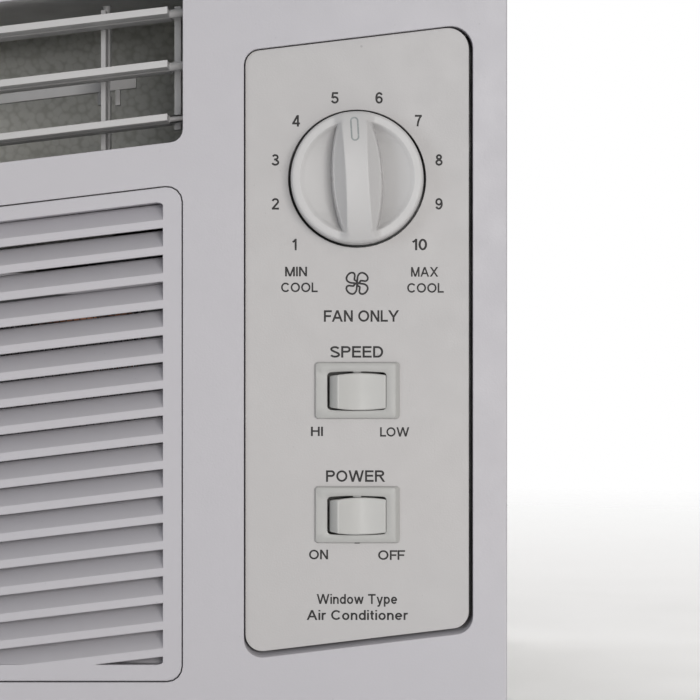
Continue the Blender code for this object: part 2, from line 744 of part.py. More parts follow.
def build_louvers(hood):
    pitch = DISCHARGE_H / LOUVERS
    middle_x = (GRILLE_LEFT + GRILLE_RIGHT) / 2
    holes = []
    for i in range(LOUVERS):
        z = discharge_middle(GRILLE_RIGHT) + (i - (LOUVERS - 1) / 2) * pitch
        name = "louver_%d" % (i + 1)
        half = LOUVER_CHORD / 2
        louver = box(name, (GRILLE_LEFT + 4, GRILLE_RIGHT - 6), (LOUVER_Y - half, LOUVER_Y + half),
                     (z - 1.3, z + 1.3), WHITE_ABS)
        slant(louver, GRILLE_RIGHT)
        pin = rod(name + "_pin", (middle_x, LOUVER_Y, z), "X", 1.6,
                  GRILLE_RIGHT - GRILLE_LEFT + 3.0, sides=12)
        slant(pin, GRILLE_RIGHT)
        join(louver, pin)
        ear = rod(name + "_ear", (GRILLE_RIGHT - 5.0, LOUVER_Y + LINK_ARM, z), "X", 1.2, 7.0,
                  sides=10)
        slant(ear, GRILLE_RIGHT)
        join(louver, ear)
        hole = rod(name + "_hole", (middle_x, LOUVER_Y, z), "X", 2.1,
                   GRILLE_RIGHT - GRILLE_LEFT + 12.0, sides=12)
        holes.append(slant(hole, GRILLE_RIGHT))
    x = (GRILLE_RIGHT - 4.6, GRILLE_RIGHT - 2.2)
    z = discharge_middle(GRILLE_RIGHT)
    y = LOUVER_Y + LINK_ARM
    link = box("louver_link", x, (y - 4, y + 4), (z - 23.5, z + 23.5), WHITE_ABS)
    slant(link, GRILLE_RIGHT)
    eyes = []
    for i in range(LOUVERS):
        at = z + (i - (LOUVERS - 1) / 2) * pitch
        eye = rod("link_eye_%d" % i, (GRILLE_RIGHT - 4, y, at), "X", 2.5, 12, sides=12)
        eyes.append(slant(eye, GRILLE_RIGHT))
    cut(link, merged("link_eyes", eyes))
    cut(hood, merged("louver_holes", holes))


def build_vanes(hood):
    inner = GRILLE_RIGHT - GRILLE_LEFT
    pitch = inner / VANES
    holes = []
    forks = []
    for i in range(VANES):
        x = GRILLE_LEFT + pitch * (i + 0.5)
        z = discharge_middle(x)
        name = "vane_%d" % (i + 1)
        half = VANE_CHORD / 2
        tall = DISCHARGE_H / 2 - 3.0
        vane = box(name, (x - 0.9, x + 0.9), (VANE_Y - half, VANE_Y + half),
                   (z - tall, z + tall), WHITE_ABS)
        notch = box(name + "_notch", (x - 5, x + 5), (VANE_Y + 6.5, VANE_Y + 20), (z - 4, z + 4))
        pin = rod(name + "_pin", (x, VANE_Y, z), "Z", PIN_R, DISCHARGE_H + 3.4, sides=12)
        cut(vane, notch)
        join(vane, pin)
        hole = rod(name + "_hole", (x, VANE_Y, z), "Z", 2.2, DISCHARGE_H + 14, sides=12)
        holes.append(hole)
        for side in (-1, 1):
            near = x + side * 2.6
            far = x + side * 4.4
            forks.append(box("fork_%d_%d" % (i, side), (min(near, far), max(near, far)),
                             (VANE_Y + LINK_ARM - 0.8, VANE_Y + LINK_ARM + 3.0),
                             (z - 7.5, z + 1.0)))
    middle = (GRILLE_LEFT + GRILLE_RIGHT) / 2
    z = discharge_middle(middle)
    link = box("vane_link", (middle - inner / 2 + 22, middle + inner / 2 - 22),
               (VANE_Y + LINK_ARM - 1.6, VANE_Y + LINK_ARM + 1.6), (z - 2.0, z + 2.0), WHITE_ABS)
    slant(link, middle)
    join(link, merged("vane_forks", forks))
    cut(hood, merged("vane_holes", holes))


# ---------------------------------------------------------------- blower and fans
def scroll_outline(inset):
    """Volute below, square discharge chamber above."""
    left = GRILLE_LEFT - 4.0 + inset
    right = GRILLE_RIGHT + 4.0 - inset
    top = SCROLL_TOP - inset
    floor = 180.0 + inset
    points = [(left, top), (left, floor)]
    start, end = (math.radians(angle) for angle in SCROLL_TURN)
    steps = 26
    for i in range(steps + 1):
        a = start + (end - start) * i / steps
        radius = SCROLL_R[0] + (SCROLL_R[1] - SCROLL_R[0]) * i / steps - inset
        points.append((FAN_X + radius * math.cos(a), FAN_Z + radius * math.sin(a)))
    points.append((right, 214.0 + inset))
    points.append((right, top))
    return points


def build_scroll():
    shell = plate("blower_scroll", scroll_outline(0.0), SCROLL_Y, DUCT_FOAM)
    cut(shell, plate("scroll_hollow", scroll_outline(SCROLL_WALL),
                     (SCROLL_Y[0] - 5, SCROLL_Y[1] - SCROLL_WALL)))
    cut(shell, rod("scroll_shaft_hole", (FAN_X, SCROLL_Y[1], FAN_Z), "Y", 14.0, 20))
    front = plate("scroll_front", scroll_outline(0.0), FRONT_PLATE_Y, DUCT_FOAM)
    cut(front, rod("orifice", (FAN_X, FRONT_PLATE_Y[0], FAN_Z), "Y", ORIFICE_R, 40, sides=40),
        plate("outlet_window", discharge_outline(-1.0), (-120, -80)))


def build_blower():
    y0, y1 = BLOWER_Y
    height = y1 - y0
    bore = SHAFT_AXLE_R + GAP
    profile = [
        (bore, height - 22.0), (12.0, height - 22.0), (12.0, height - 2.0),
        (BLOWER_R, height - 2.0), (BLOWER_R, height), (bore, height),
    ]
    wheel = turned("blower_wheel", profile, (FAN_X, y0, FAN_Z), "Y", DARK_PLASTIC, 40)
    ring = turned("blower_ring", [(BLOWER_R - 11, 0), (BLOWER_R, 0), (BLOWER_R, 3),
                                  (BLOWER_R - 11, 3)], (FAN_X, y0, FAN_Z), "Y", None, 40)
    blades = []
    for i in range(BLADES):
        blade = box("blade_%d" % i, (-0.7, 0.7), (0.6, height - 0.8), (BLOWER_R - 13, BLOWER_R - 0.6))
        lean = Matrix.Translation((0, 0, (BLOWER_R - 6) * MM)) @ Matrix.Rotation(
            math.radians(28), 4, "Y") @ Matrix.Translation((0, 0, -(BLOWER_R - 6) * MM))
        centre = Matrix.Translation(blade.location)
        turn = Matrix.Rotation(2 * math.pi * i / BLADES, 4, "Y")
        blade.data.transform(turn @ lean @ centre)
        blade.location = Vector((FAN_X, y0, FAN_Z)) * MM
        blade.data.update()
        blades.append(blade)
    bpy.context.view_layer.update()
    join(wheel, merged("blower_blades", blades), ring)

    rod("fan_shaft", (FAN_X, (-86.0 + 128.0) / 2, FAN_Z), "Y", SHAFT_AXLE_R, 214.0, ZINC, 24)


def build_condenser_fan():
    y0, y1 = COND_FAN_Y
    depth = y1 - y0
    bore = SHAFT_AXLE_R + GAP
    hub = [(bore, 0), (27, 0), (28, 1), (28, depth), (bore, depth)]
    fan = turned("condenser_fan", hub, (FAN_X, y0, FAN_Z), "Y", DARK_PLASTIC, 28)
    bm = bmesh.new()
    blades = 5
    rows = 4
    columns = 3
    for blade in range(blades):
        base = 2 * math.pi * blade / blades
        grid = {}
        for side in (0, 1):
            for row in range(rows + 1):
                r = 26.5 + (COND_FAN_R - 26.5) * row / rows
                for column in range(columns + 1):
                    s = column / columns
                    span = math.radians(46 + 8 * row / rows)
                    a = base + span * (s - 0.5) + 0.10 * row / rows
                    y = 3.0 + (depth - 6.0) * s - 1.0 + 2.0 * side
                    y += 2.0 * math.sin(math.pi * s)
                    grid[side, row, column] = bm.verts.new(
                        (r * math.cos(a) * MM, y * MM, r * math.sin(a) * MM))
        for row in range(rows):
            for column in range(columns):
                for side in (0, 1):
                    quad = [grid[side, row, column], grid[side, row + 1, column],
                            grid[side, row + 1, column + 1], grid[side, row, column + 1]]
                    bm.faces.new(quad if side else list(reversed(quad)))
        for row in range(rows):
            for column in (0, columns):
                bm.faces.new((grid[0, row, column], grid[0, row + 1, column],
                              grid[1, row + 1, column], grid[1, row, column]))
        for column in range(columns):
            for row in (0, rows):
                bm.faces.new((grid[0, row, column], grid[0, row, column + 1],
                              grid[1, row, column + 1], grid[1, row, column]))
    bmesh.ops.recalc_face_normals(bm, faces=bm.faces)
    blades_mesh = add("fan_blades", mesh_from("fan_blades", bm), None, (FAN_X, y0, FAN_Z))
    ring = turned("slinger_ring", [(COND_FAN_R - 1.5, depth - 9), (COND_FAN_R + 1.0, depth - 9),
                                   (COND_FAN_R + 1.0, depth - 1), (COND_FAN_R - 1.5, depth - 1)],
                  (FAN_X, y0, FAN_Z), "Y", None, 40)
    join(fan, blades_mesh, ring)


def build_motor():
    y0, y1 = MOTOR_Y
    length = y1 - y0
    bore = SHAFT_AXLE_R + 0.4
    profile = [
        (bore, -6), (14, -6), (16, -4), (16, 2), (MOTOR_R - 8, 4), (MOTOR_R, 12),
        (MOTOR_R, length - 12), (MOTOR_R - 8, length - 4), (16, length - 2), (16, length + 4),
        (14, length + 6), (bore, length + 6),
    ]
    turned("fan_motor", list(reversed(profile)), (FAN_X, y0, FAN_Z), "Y", BLACK_STEEL, 28)
    outline = fillet(((FAN_X - 61, 2.8), (FAN_X + 61, 2.8), (FAN_X + 61, 180), (FAN_X + 40, 204),
                      (FAN_X - 40, 204), (FAN_X - 61, 180)), (2, 2, 10, 10, 10, 10), 3)
    bracket = plate("motor_bracket", outline, (38.0, 40.0), GALVANISED)
    join(bracket, box("bracket_foot", (FAN_X - 62, FAN_X + 62), (20.0, 39.0), (2.0, 4.0)))
    cut(bracket, rod("motor_seat", (FAN_X, 40, FAN_Z), "Y", MOTOR_R + 0.5, 80, sides=40))


# ---------------------------------------------------------------- refrigeration
def build_coil(name, extent, rows, grooves):
    """A finned block with return bends standing out of both ends."""
    x, y, z = extent
    slab = box(name, x, y, z, ALUMINIUM)
    cutters = []
    pitch = (x[1] - x[0] - 12) / grooves
    for i in range(grooves):
        at = x[0] + 6 + pitch * (i + 0.25)
        cutters.append(box("%s_groove_%d" % (name, i), (at, at + pitch * 0.5),
                           (y[0] - 2, y[0] + 6), (z[0] + 3, z[1] - 3)))
    cut(slab, merged(name + "_grooves", cutters))
    bends = []
    pitch = (z[1] - z[0]) / (2 * rows)
    for i in range(rows):
        for end, direction in ((x[0], -1), (x[1], 1)):
            low = z[0] + pitch * (2 * i + (0.5 if direction > 0 else 1.5))
            if low + pitch > z[1] - 5:
                continue
            arc = []
            for step in range(6):
                a = math.pi * step / 5
                arc.append((end + direction * (3 + pitch / 2 * math.sin(a)),
                            (y[0] + y[1]) / 2, low + pitch / 2 - pitch / 2 * math.cos(a)))
            arc.insert(0, (end - direction * 3, arc[0][1], arc[0][2]))
            arc.append((end - direction * 3, arc[-1][1], arc[-1][2]))
            bends.append(tube("%s_bend_%d_%d" % (name, i, direction), arc, TUBE_R, None, 1))
    bpy.context.view_layer.update()
    join(slab, merged(name + "_bends", bends))


def build_drip_tray():
    x, y, z = EVAP
    tray = box("drip_tray", (x[0] - 6, x[1] + 18), (y[0] - 6, y[1] + 6), (1.8, z[0] - GAP),
               DUCT_FOAM)
    cut(tray, box("tray_trough", (x[0] + 8, x[1] + 4), (y[0] + 7, y[1] - 7), (22, z[0] + 5)))


def build_shroud():
    x, y, z = SHROUD_X, SHROUD_Y, SHROUD_Z
    sheet = SHROUD_SHEET
    shroud = box("condenser_shroud", x, y, z, DARK_PLASTIC)
    cut(shroud, box("shroud_hollow", (x[0] + sheet, x[1] - sheet), (y[0] + sheet, y[1] + 5),
                    (z[0] + sheet, z[1] - sheet)))
    cut(shroud, rod("shroud_hole", (FAN_X, y[0], FAN_Z), "Y", COND_FAN_R + 4, 20, sides=48))


def build_compressor():
    z0, z1 = COMP_Z
    profile = [
        (0, z1 - z0), (18, z1 - z0 - 1), (38, z1 - z0 - 9), (COMP_R - 1.5, z1 - z0 - 24),
        (COMP_R, z1 - z0 - 30), (COMP_R, 28), (COMP_R - 3, 18), (30, 3), (0, 0),
    ]
    shell = turned("compressor", profile, (COMP_X, COMP_Y, z0), "Z", BLACK_STEEL, 28)
    ears = []
    for i in range(3):
        a = math.radians(90 + 120 * i)
        ears.append((math.cos(a), math.sin(a)))
    reach = EAR_RING + 2 * EAR_R
    corners = [(COMP_X + reach * u, COMP_Y + reach * v) for u, v in ears]
    foot = plate("compressor_foot", fillet(corners, (EAR_R,) * 3, 4), (-1.5, 1.5))
    foot.rotation_euler = (0, 0, 0)
    foot.location = (0, 0, (z0 + 8.0) * MM)
    join(shell, foot)
    for i, (u, v) in enumerate(ears):
        x = COMP_X + EAR_RING * u
        y = COMP_Y + EAR_RING * v
        hole = rod("foot_hole_%d" % i, (x, y, z0 + 8), "Z", 4.3, 20, sides=16)
        cut(shell, hole)
        grommet = [(2.0, 26.4), (2.0, 0), (8.0, 0), (8.0, 23.4), (4.0, 23.6), (4.0, 26.4)]
        turned("compressor_grommet_%d" % (i + 1), list(reversed(grommet)), (x, y, 2.6), "Z",
               RUBBER, 20)
    can = [(0, 118), (8, 116), (15, 106), (16, 100), (16, 18), (15, 12), (8, 2), (0, 0)]
    turned("accumulator", can, (ACCUM_X, COMP_Y, 62), "Z", BLACK_STEEL, 24)


def build_pipes():
    tube("discharge_pipe", smooth_path([
        (COMP_X + 10, COMP_Y, COMP_Z[1] + 0.6), (COMP_X + 10, COMP_Y, 232),
        (COMP_X + 20, COMP_Y + 5, 254), (COMP_X + 50, COMP_Y + 25, 262), (219, 84, 264),
        (222, 102, 265), (222, 150, 267), (221, 172, 267), (214, 181, 267),
        (200.8, 181, 267)], 2), 3.2, COPPER)
    tube("suction_pipe", smooth_path([
        (ACCUM_X, COMP_Y, 180.6), (ACCUM_X, COMP_Y, 214), (ACCUM_X, COMP_Y - 12, 232),
        (ACCUM_X, 10, 236), (ACCUM_X, -20, 236), (ACCUM_X, -60, 236), (ACCUM_X - 8, -86, 236),
        (ACCUM_X - 30, -98, 234), (150, -101, 230), (128, -104, 218), (123, -113, 196),
        (120, -119, 182), (115, -121, 171), (108, -121, 168), (98.7, -121, 168)], 2), 4.0, COPPER)
    helix = []
    for i in range(37):
        a = 2 * math.pi * i / 12
        helix.append((211 + 9 * math.cos(a), 4 + 9 * math.sin(a), 40 + 0.6 * i))
    start = smooth_path([(200.6, 170, 30), (208, 166, 32), (216, 150, 36), (221, 120, 40),
                         (223, 60, 40), (222, 22, 40)], 3)
    end = smooth_path([(220, 4, 61.6), (217, -8, 69), (203, -24, 74), (180, -60, 78),
                       (150, -100, 84), (126, -110, 88), (116, -119, 88), (98.6, -121, 88)], 3)
    tube("capillary_tube", start[:-1] + helix + end[1:], 1.4, COPPER, 1)


# ---------------------------------------------------------------- chassis
def build_bulkhead():
    sheet = plate("bulkhead", wrap_outline(227.0, 2.0, 300.0, WRAP_CORNER),
                  (BULKHEAD_Y, BULKHEAD_Y + SHEET), GALVANISED)
    cut(sheet, rod("motor_hole", (FAN_X, BULKHEAD_Y, FAN_Z), "Y", 30.0, 20, sides=32))
    cut(sheet, rod("suction_hole", (ACCUM_X, BULKHEAD_Y, 236), "Y", 7.0, 20, sides=16))
    cut(sheet, rod("capillary_hole", (212, BULKHEAD_Y, 71.2), "Y", 7.0, 20, sides=16))
    cut(sheet, rod("lead_way", (150, BULKHEAD_Y, 40), "Y", 6.0, 20, sides=16))


def build_pan():
    pan = box("base_pan", (-PAN_X, PAN_X), PAN_Y, (0.0, PAN_H), GALVANISED)
    hollow = box("pan_hollow", (-PAN_X + SHEET, PAN_X - SHEET),
                 (PAN_Y[0] + SHEET, PAN_Y[1] - SHEET), (1.5, PAN_H + 5))
    cut(pan, hollow)
    for side in (-1, 1):
        for y in SCREW_Y:
            cut(pan, rod("pan_hole_%d_%d" % (side, y), (side * PAN_X, y, SCREW_Z), "X",
                         2.4, 12, sides=12))
    cut(pan, rod("drain_hole", (150, 175, 0), "Z", 5.0, 12, sides=16))


def wrap_outline(half, bottom, top, corner):
    return fillet(((-half, bottom), (half, bottom), (half, top), (-half, top)),
                  (0.2, 0.2, corner, corner), 4)


def build_wrap():
    wrap = plate("cabinet_wrap", wrap_outline(WRAP_X, WRAP_Z[0], WRAP_Z[1], WRAP_CORNER), WRAP_Y,
                 PAINTED)
    hollow = plate("wrap_hollow",
                   wrap_outline(WRAP_X - WRAP_SHEET, WRAP_Z[0] - 5, WRAP_Z[1] - WRAP_SHEET,
                                WRAP_CORNER - WRAP_SHEET), (WRAP_Y[0] - 5, WRAP_Y[1] + 5))
    cut(wrap, hollow)
    vents = []
    length, height, along, up = VENT_SIDE
    for side in (-1, 1):
        for column in range(2):
            y = 30.0 + along * column
            for row in range(9):
                z = 70.0 + up * row
                x = sorted((side * (WRAP_X - 6), side * (WRAP_X + 6)))
                vents.append(box("vent_%d_%d_%d" % (side, column, row), x, (y, y + length),
                                 (z, z + height)))
    length, height, along, up = VENT_TOP
    for column in range(4):
        for row in range(4):
            x = -170.0 + along * column
            y = 44.0 + up * row
            vents.append(box("top_vent_%d_%d" % (column, row), (x, x + length), (y, y + height),
                             (WRAP_Z[1] - 6, WRAP_Z[1] + 6)))
    cut(wrap, merged("wrap_vents", vents))
    for side in (-1, 1):
        for y in SCREW_Y:
            cut(wrap, rod("wrap_hole_%d_%d" % (side, y), (side * WRAP_X, y, SCREW_Z), "X",
                          2.4, 12, sides=12))
    for x in RAIL_SCREWS:
        cut(wrap, rod("wrap_rail_hole_%d" % x, (x, RAIL_Y + 12, WRAP_Z[1]), "Z", 2.4, 12, sides=12))
    cut(wrap, rod("gland_hole", (WRAP_X, GLAND_Y, 46.0), "X", 7.6, 12, sides=24))
    bottom = WRAP_Z[1] + GAP
    rail = box("top_rail", (-RAIL_LENGTH / 2, RAIL_LENGTH / 2), (RAIL_Y, RAIL_Y + RAIL_LEG),
               (bottom, HEIGHT), PAINTED)
    cut(rail, box("rail_angle", (-WIDTH, WIDTH), (RAIL_Y + RAIL_SHEET, RAIL_Y + RAIL_LEG + 5),
                  (bottom + RAIL_SHEET, HEIGHT + 5)))
    for x in RAIL_SCREWS:
        cut(rail, rod("rail_hole_%d" % x, (x, RAIL_Y + 12, bottom), "Z", 2.4, 12, sides=12))


def build_fixings():
    head = [(0, 2.0), (2.4, 1.8), (3.9, 0.8), (4.2, 0.3), (2.0, 0.3), (2.0, -6.0), (0, -7.0)]
    for i, x in enumerate(RAIL_SCREWS):
        turned("rail_screw_%d" % (i + 1), head, (x, RAIL_Y + 12, WRAP_Z[1] + GAP + RAIL_SHEET),
               "Z", ZINC, 16)
    count = 0
    for side in (-1, 1):
        for y in SCREW_Y:
            count += 1
            screw = turned("side_screw_%d" % count, head, (side * WRAP_X, y, SCREW_Z), "Z",
                           ZINC, 16)
            screw.rotation_euler = (0, side * math.pi / 2, 0)
    gland = [(4.0, 3.0), (9.0, 3.0), (10.5, 2.0), (10.5, 0.3), (7.2, 0.3), (7.2, -8.0),
             (4.0, -8.0)]
    bush = turned("cord_gland", gland, (WRAP_X, GLAND_Y, 46.0), "Z", RUBBER, 18)
    bush.rotation_euler = (0, math.pi / 2, 0)


def main():
    build_fascia()
    build_panel()
    build_grille()
    build_filter()
    build_knob()
    build_thermostat()
    build_switch("speed", SPEED_Z)
    build_switch("power", POWER_Z)
    build_control_box()
    hood = build_hood()
    build_louvers(hood)
    build_vanes(hood)
    build_scroll()
    build_blower()
    build_condenser_fan()
    build_motor()
    build_coil("evaporator_coil", EVAP, BEND_ROWS, 12)
    build_coil("condenser_coil", COND, BEND_ROWS + 2, 16)
    build_drip_tray()
    build_shroud()
    build_compressor()
    build_pipes()
    build_bulkhead()
    build_pan()
    build_wrap()
    build_fixings()


clear_scene()
PARTS = new_collection(OBJECT_NAME)
CUTTERS = new_collection("cutters")
main()
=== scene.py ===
import json
import math

import bmesh
import bpy
import numpy as np
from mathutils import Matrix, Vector


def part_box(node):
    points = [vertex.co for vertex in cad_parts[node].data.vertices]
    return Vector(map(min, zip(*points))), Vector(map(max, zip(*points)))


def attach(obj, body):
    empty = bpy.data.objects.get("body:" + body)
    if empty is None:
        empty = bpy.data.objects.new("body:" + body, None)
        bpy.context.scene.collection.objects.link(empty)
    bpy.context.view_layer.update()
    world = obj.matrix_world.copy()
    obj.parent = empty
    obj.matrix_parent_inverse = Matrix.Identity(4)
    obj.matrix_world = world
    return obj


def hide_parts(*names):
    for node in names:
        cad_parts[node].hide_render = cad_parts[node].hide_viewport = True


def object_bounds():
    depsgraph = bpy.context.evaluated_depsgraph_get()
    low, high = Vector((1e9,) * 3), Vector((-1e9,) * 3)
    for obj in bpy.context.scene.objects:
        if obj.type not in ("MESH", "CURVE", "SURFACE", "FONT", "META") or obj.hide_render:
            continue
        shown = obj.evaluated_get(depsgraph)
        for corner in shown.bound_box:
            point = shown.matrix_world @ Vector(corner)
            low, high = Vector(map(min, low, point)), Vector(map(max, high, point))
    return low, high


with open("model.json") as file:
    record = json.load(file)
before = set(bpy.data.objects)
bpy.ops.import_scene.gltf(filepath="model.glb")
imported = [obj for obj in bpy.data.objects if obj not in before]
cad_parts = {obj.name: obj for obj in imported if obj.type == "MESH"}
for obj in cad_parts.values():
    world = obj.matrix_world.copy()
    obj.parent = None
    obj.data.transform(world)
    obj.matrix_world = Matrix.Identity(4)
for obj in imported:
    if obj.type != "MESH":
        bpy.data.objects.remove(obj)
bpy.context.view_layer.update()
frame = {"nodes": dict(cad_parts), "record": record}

MM = 0.001  # lengths below are in millimetres unless a name says metres
nodes = frame["nodes"]
bodies = frame["record"]["behaviour"]["bodies"]
body_of = {node: body for body, members in bodies.items() for node in members}
scene = bpy.context.scene
for leftover in ("Cube", "Light", "Camera"):
    if leftover in bpy.data.objects:
        bpy.data.objects.remove(bpy.data.objects[leftover])


def box_mm(node):
    """Lowest and highest corner of a CAD node, in millimetres."""
    low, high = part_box(node)
    return np.array(low) / MM, np.array(high) / MM


# ---------------------------------------------------------------- places read off the frame
panel_low, panel_high = box_mm("control_panel")
knob_low, knob_high = box_mm("temperature_knob")
PANEL_Y = panel_low[1]
PANEL_X = (panel_low[0] + panel_high[0]) / 2
PANEL_Z = (panel_low[2] + panel_high[2]) / 2
KNOB_X = (knob_low[0] + knob_high[0]) / 2
KNOB_Z = (knob_low[2] + knob_high[2]) / 2
KNOB_R = (knob_high[0] - knob_low[0]) / 2
KNOB_PROUD = PANEL_Y - knob_low[1]


# ---------------------------------------------------------------- node helpers for materials
MIX_A, MIX_B, MIX_RESULT = 6, 7, 2  # the colour sockets of a Mix node


class Shader:
    """A material's node tree, with short calls for the nodes this object needs."""

    def __init__(self, name, colour, rough, metallic=0.0, coat=0.0, specular=0.5):
        self.material = bpy.data.materials.new(name)
        self.material.use_nodes = True
        self.tree = self.material.node_tree
        self.bsdf = self.tree.nodes["Principled BSDF"]
        self.bsdf.inputs["Base Color"].default_value = (*colour, 1)
        self.bsdf.inputs["Roughness"].default_value = rough
        self.bsdf.inputs["Metallic"].default_value = metallic
        self.bsdf.inputs["Coat Weight"].default_value = coat
        self.bsdf.inputs["Coat Roughness"].default_value = 0.25
        self.bsdf.inputs["Specular IOR Level"].default_value = specular
        self.material.diffuse_color = (*colour, 1)
        self.place = self.tree.nodes.new("ShaderNodeTexCoord").outputs["Object"]
        self.colour = None  # the last tint's output
        self.height = None  # the last bump's or eased edge's normal

    def add(self, kind, **values):
        """A new node with these values on its sockets; another node's output is linked."""
        node = self.tree.nodes.new("ShaderNode" + kind)
        for name, value in values.items():
            socket = node.inputs[name.replace("_", " ")]
            if isinstance(value, bpy.types.NodeSocket):
                self.tree.links.new(value, socket)
            else:
                socket.default_value = value
        return node

    def eased(self, radius):
        """Edges shaded as if rounded to this many millimetres."""
        node = self.add("Bevel", Radius=radius * MM)
        node.samples = 4
        self.height = node.outputs["Normal"]

    def stretched(self, x, y, z):
        """Object coordinates scaled apart, for brushed or drawn metal."""
        return self.add("Mapping", Vector=self.place, Scale=(x, y, z)).outputs["Vector"]

    def noise(self, scale, detail=2.0, place=None, distortion=0.0):
        """Soft blotches, so many to the metre."""
        return self.add("TexNoise", Vector=place or self.place, Scale=scale, Detail=detail,
                        Distortion=distortion).outputs["Fac"]

    def cells(self, scale, output="Distance"):
        """Cells, so many to the metre: the distance from their centres, or a colour for each."""
        return self.add("TexVoronoi", Vector=self.place, Scale=scale).outputs[output]

    def span(self, value, low, high, to_low=0.0, to_high=1.0):
        """A value's span from low to high laid onto another span."""
        return self.add("MapRange", Value=value, From_Min=low, From_Max=high, To_Min=to_low,
                        To_Max=to_high).outputs["Result"]

    def tint(self, colour, factor, amount=1.0):
        """Blends towards a colour where factor is high."""
        node = self.tree.nodes.new("ShaderNodeMix")
        node.data_type = "RGBA"
        if amount != 1.0:
            factor = self.span(factor, 0.0, 1.0, 0.0, amount)
        self.tree.links.new(factor, node.inputs["Factor"])
        if self.colour is None:
            node.inputs[MIX_A].default_value = self.bsdf.inputs["Base Color"].default_value
        else:
            self.tree.links.new(self.colour, node.inputs[MIX_A])
        node.inputs[MIX_B].default_value = (*colour, 1)
        self.colour = node.outputs[MIX_RESULT]

    def rough(self, value, low, high, span=(0.3, 0.7)):
        """Roughness from low to high as the value goes across its span."""
        self.tree.links.new(self.span(value, span[0], span[1], low, high),
                            self.bsdf.inputs["Roughness"])

    def bump(self, value, depth):
        """Surface relief this many millimetres deep."""
        node = self.add("Bump", Strength=1.0, Distance=depth * MM, Height=value)
        if self.height is not None:
            self.tree.links.new(self.height, node.inputs["Normal"])
        self.height = node.outputs["Normal"]

    def done(self):
        """Connects the last colour and normal and gives the material."""
        if self.colour is not None:
            self.tree.links.new(self.colour, self.bsdf.inputs["Base Color"])
        if self.height is not None:
            self.tree.links.new(self.height, self.bsdf.inputs["Normal"])
        return self.material


def linear(r, g, b):
    """An sRGB colour out of 255 as linear light."""
    def one(c):
        c /= 255.0
        return c / 12.92 if c <= 0.04045 else ((c + 0.055) / 1.055) ** 2.4
    return one(r), one(g), one(b)


def moulded(name, colour, rough, grain=1400.0, depth=0.02, patch=0.03, specks=0.0, eased=0.0,
            specular=0.5):
    """Moulded plastic: faint flow marks, a fine sparked grain, and now and then a dark speck."""
    s = Shader(name, colour, rough, specular=specular)
    if eased:
        s.eased(eased)
    darker = tuple(c * (1 - patch * 2) for c in colour)
    warmer = (colour[0] * (1 + patch), colour[1], colour[2] * (1 - patch))
    s.tint(darker, s.span(s.noise(14.0, 3.0), 0.35, 0.75))
    s.tint(warmer, s.span(s.noise(5.0, 2.0, distortion=0.6), 0.4, 0.7), 0.7)
    if specks:
        near = s.cells(55.0)
        thin = s.cells(130.0)
        s.tint(tuple(c * 0.25 for c in colour), s.span(near, 0.016, 0.034, specks, 0.0))
        s.tint(tuple(c * 0.45 for c in colour), s.span(thin, 0.02, 0.05, specks * 0.6, 0.0))
    s.rough(s.noise(90.0, 3.0), rough - 0.06, rough + 0.08)
    s.bump(s.noise(grain, 2.0), depth)
    s.bump(s.noise(45.0, 2.0), depth * 2.5)
    return s.done()


def galvanised(name):
    """Hot dip zinc: large flat spangles, each with its own sheen, and dull white bloom."""
    s = Shader(name, (0.50, 0.52, 0.54), 0.4, metallic=0.85)
    tone = s.add("SeparateColor", Color=s.cells(130.0, "Color")).outputs[0]
    s.tint((0.38, 0.40, 0.42), tone)
    s.tint((0.66, 0.66, 0.65), s.span(s.noise(30.0, 4.0), 0.55, 0.8), 0.6)
    s.rough(tone, 0.30, 0.52, (0.0, 1.0))
    s.bump(tone, 0.02)
    s.bump(s.noise(500.0), 0.01)
    return s.done()


def painted(name):
    """Powder coat on sheet steel: orange peel and a little grime in patches."""
    s = Shader(name, linear(208, 207, 203), 0.38)
    s.tint(linear(196, 194, 188), s.span(s.noise(7.0, 4.0), 0.5, 0.8), 0.7)
    s.tint(linear(216, 216, 214), s.span(s.noise(60.0, 3.0), 0.55, 0.75), 0.4)
    s.rough(s.noise(40.0, 3.0), 0.30, 0.46)
    s.bump(s.noise(420.0, 1.0), 0.05)
    return s.done()


def copper(name):
    """Drawn tube, tarnished brown in patches with brighter rubbed spots."""
    s = Shader(name, (0.70, 0.33, 0.20), 0.32, metallic=1.0)
    s.tint((0.36, 0.17, 0.11), s.span(s.noise(60.0, 4.0), 0.45, 0.7), 0.8)
    s.tint((0.80, 0.48, 0.34), s.span(s.noise(220.0, 2.0), 0.55, 0.7), 0.5)
    s.rough(s.noise(150.0, 3.0), 0.22, 0.5)
    s.bump(s.noise(700.0), 0.01)
    return s.done()


def fins(name):
    """Bare aluminium fin stock: rolling lines along the fins and dust on their edges."""
    s = Shader(name, (0.84, 0.85, 0.86), 0.42, metallic=0.75)
    s.tint((0.66, 0.66, 0.65), s.span(s.noise(9.0, 5.0), 0.45, 0.75), 0.7)
    streaks = s.noise(1.0, 2.0, s.stretched(900.0, 900.0, 25.0))
    s.tint((0.86, 0.87, 0.88), s.span(streaks, 0.5, 0.7), 0.5)
    s.rough(s.noise(1.0, 2.0, s.stretched(500.0, 500.0, 12.0)), 0.28, 0.5)
    s.bump(s.noise(1.0, 2.0, s.stretched(1200.0, 1200.0, 40.0)), 0.01)
    return s.done()


def enamel(name):
    """Black baked enamel with orange peel and dust lying on it."""
    s = Shader(name, (0.018, 0.018, 0.019), 0.3, coat=0.25)
    s.tint((0.07, 0.068, 0.064), s.span(s.noise(25.0, 5.0), 0.5, 0.8), 0.6)
    s.rough(s.noise(60.0, 3.0), 0.22, 0.5)
    s.bump(s.noise(350.0, 1.0), 0.06)
    return s.done()


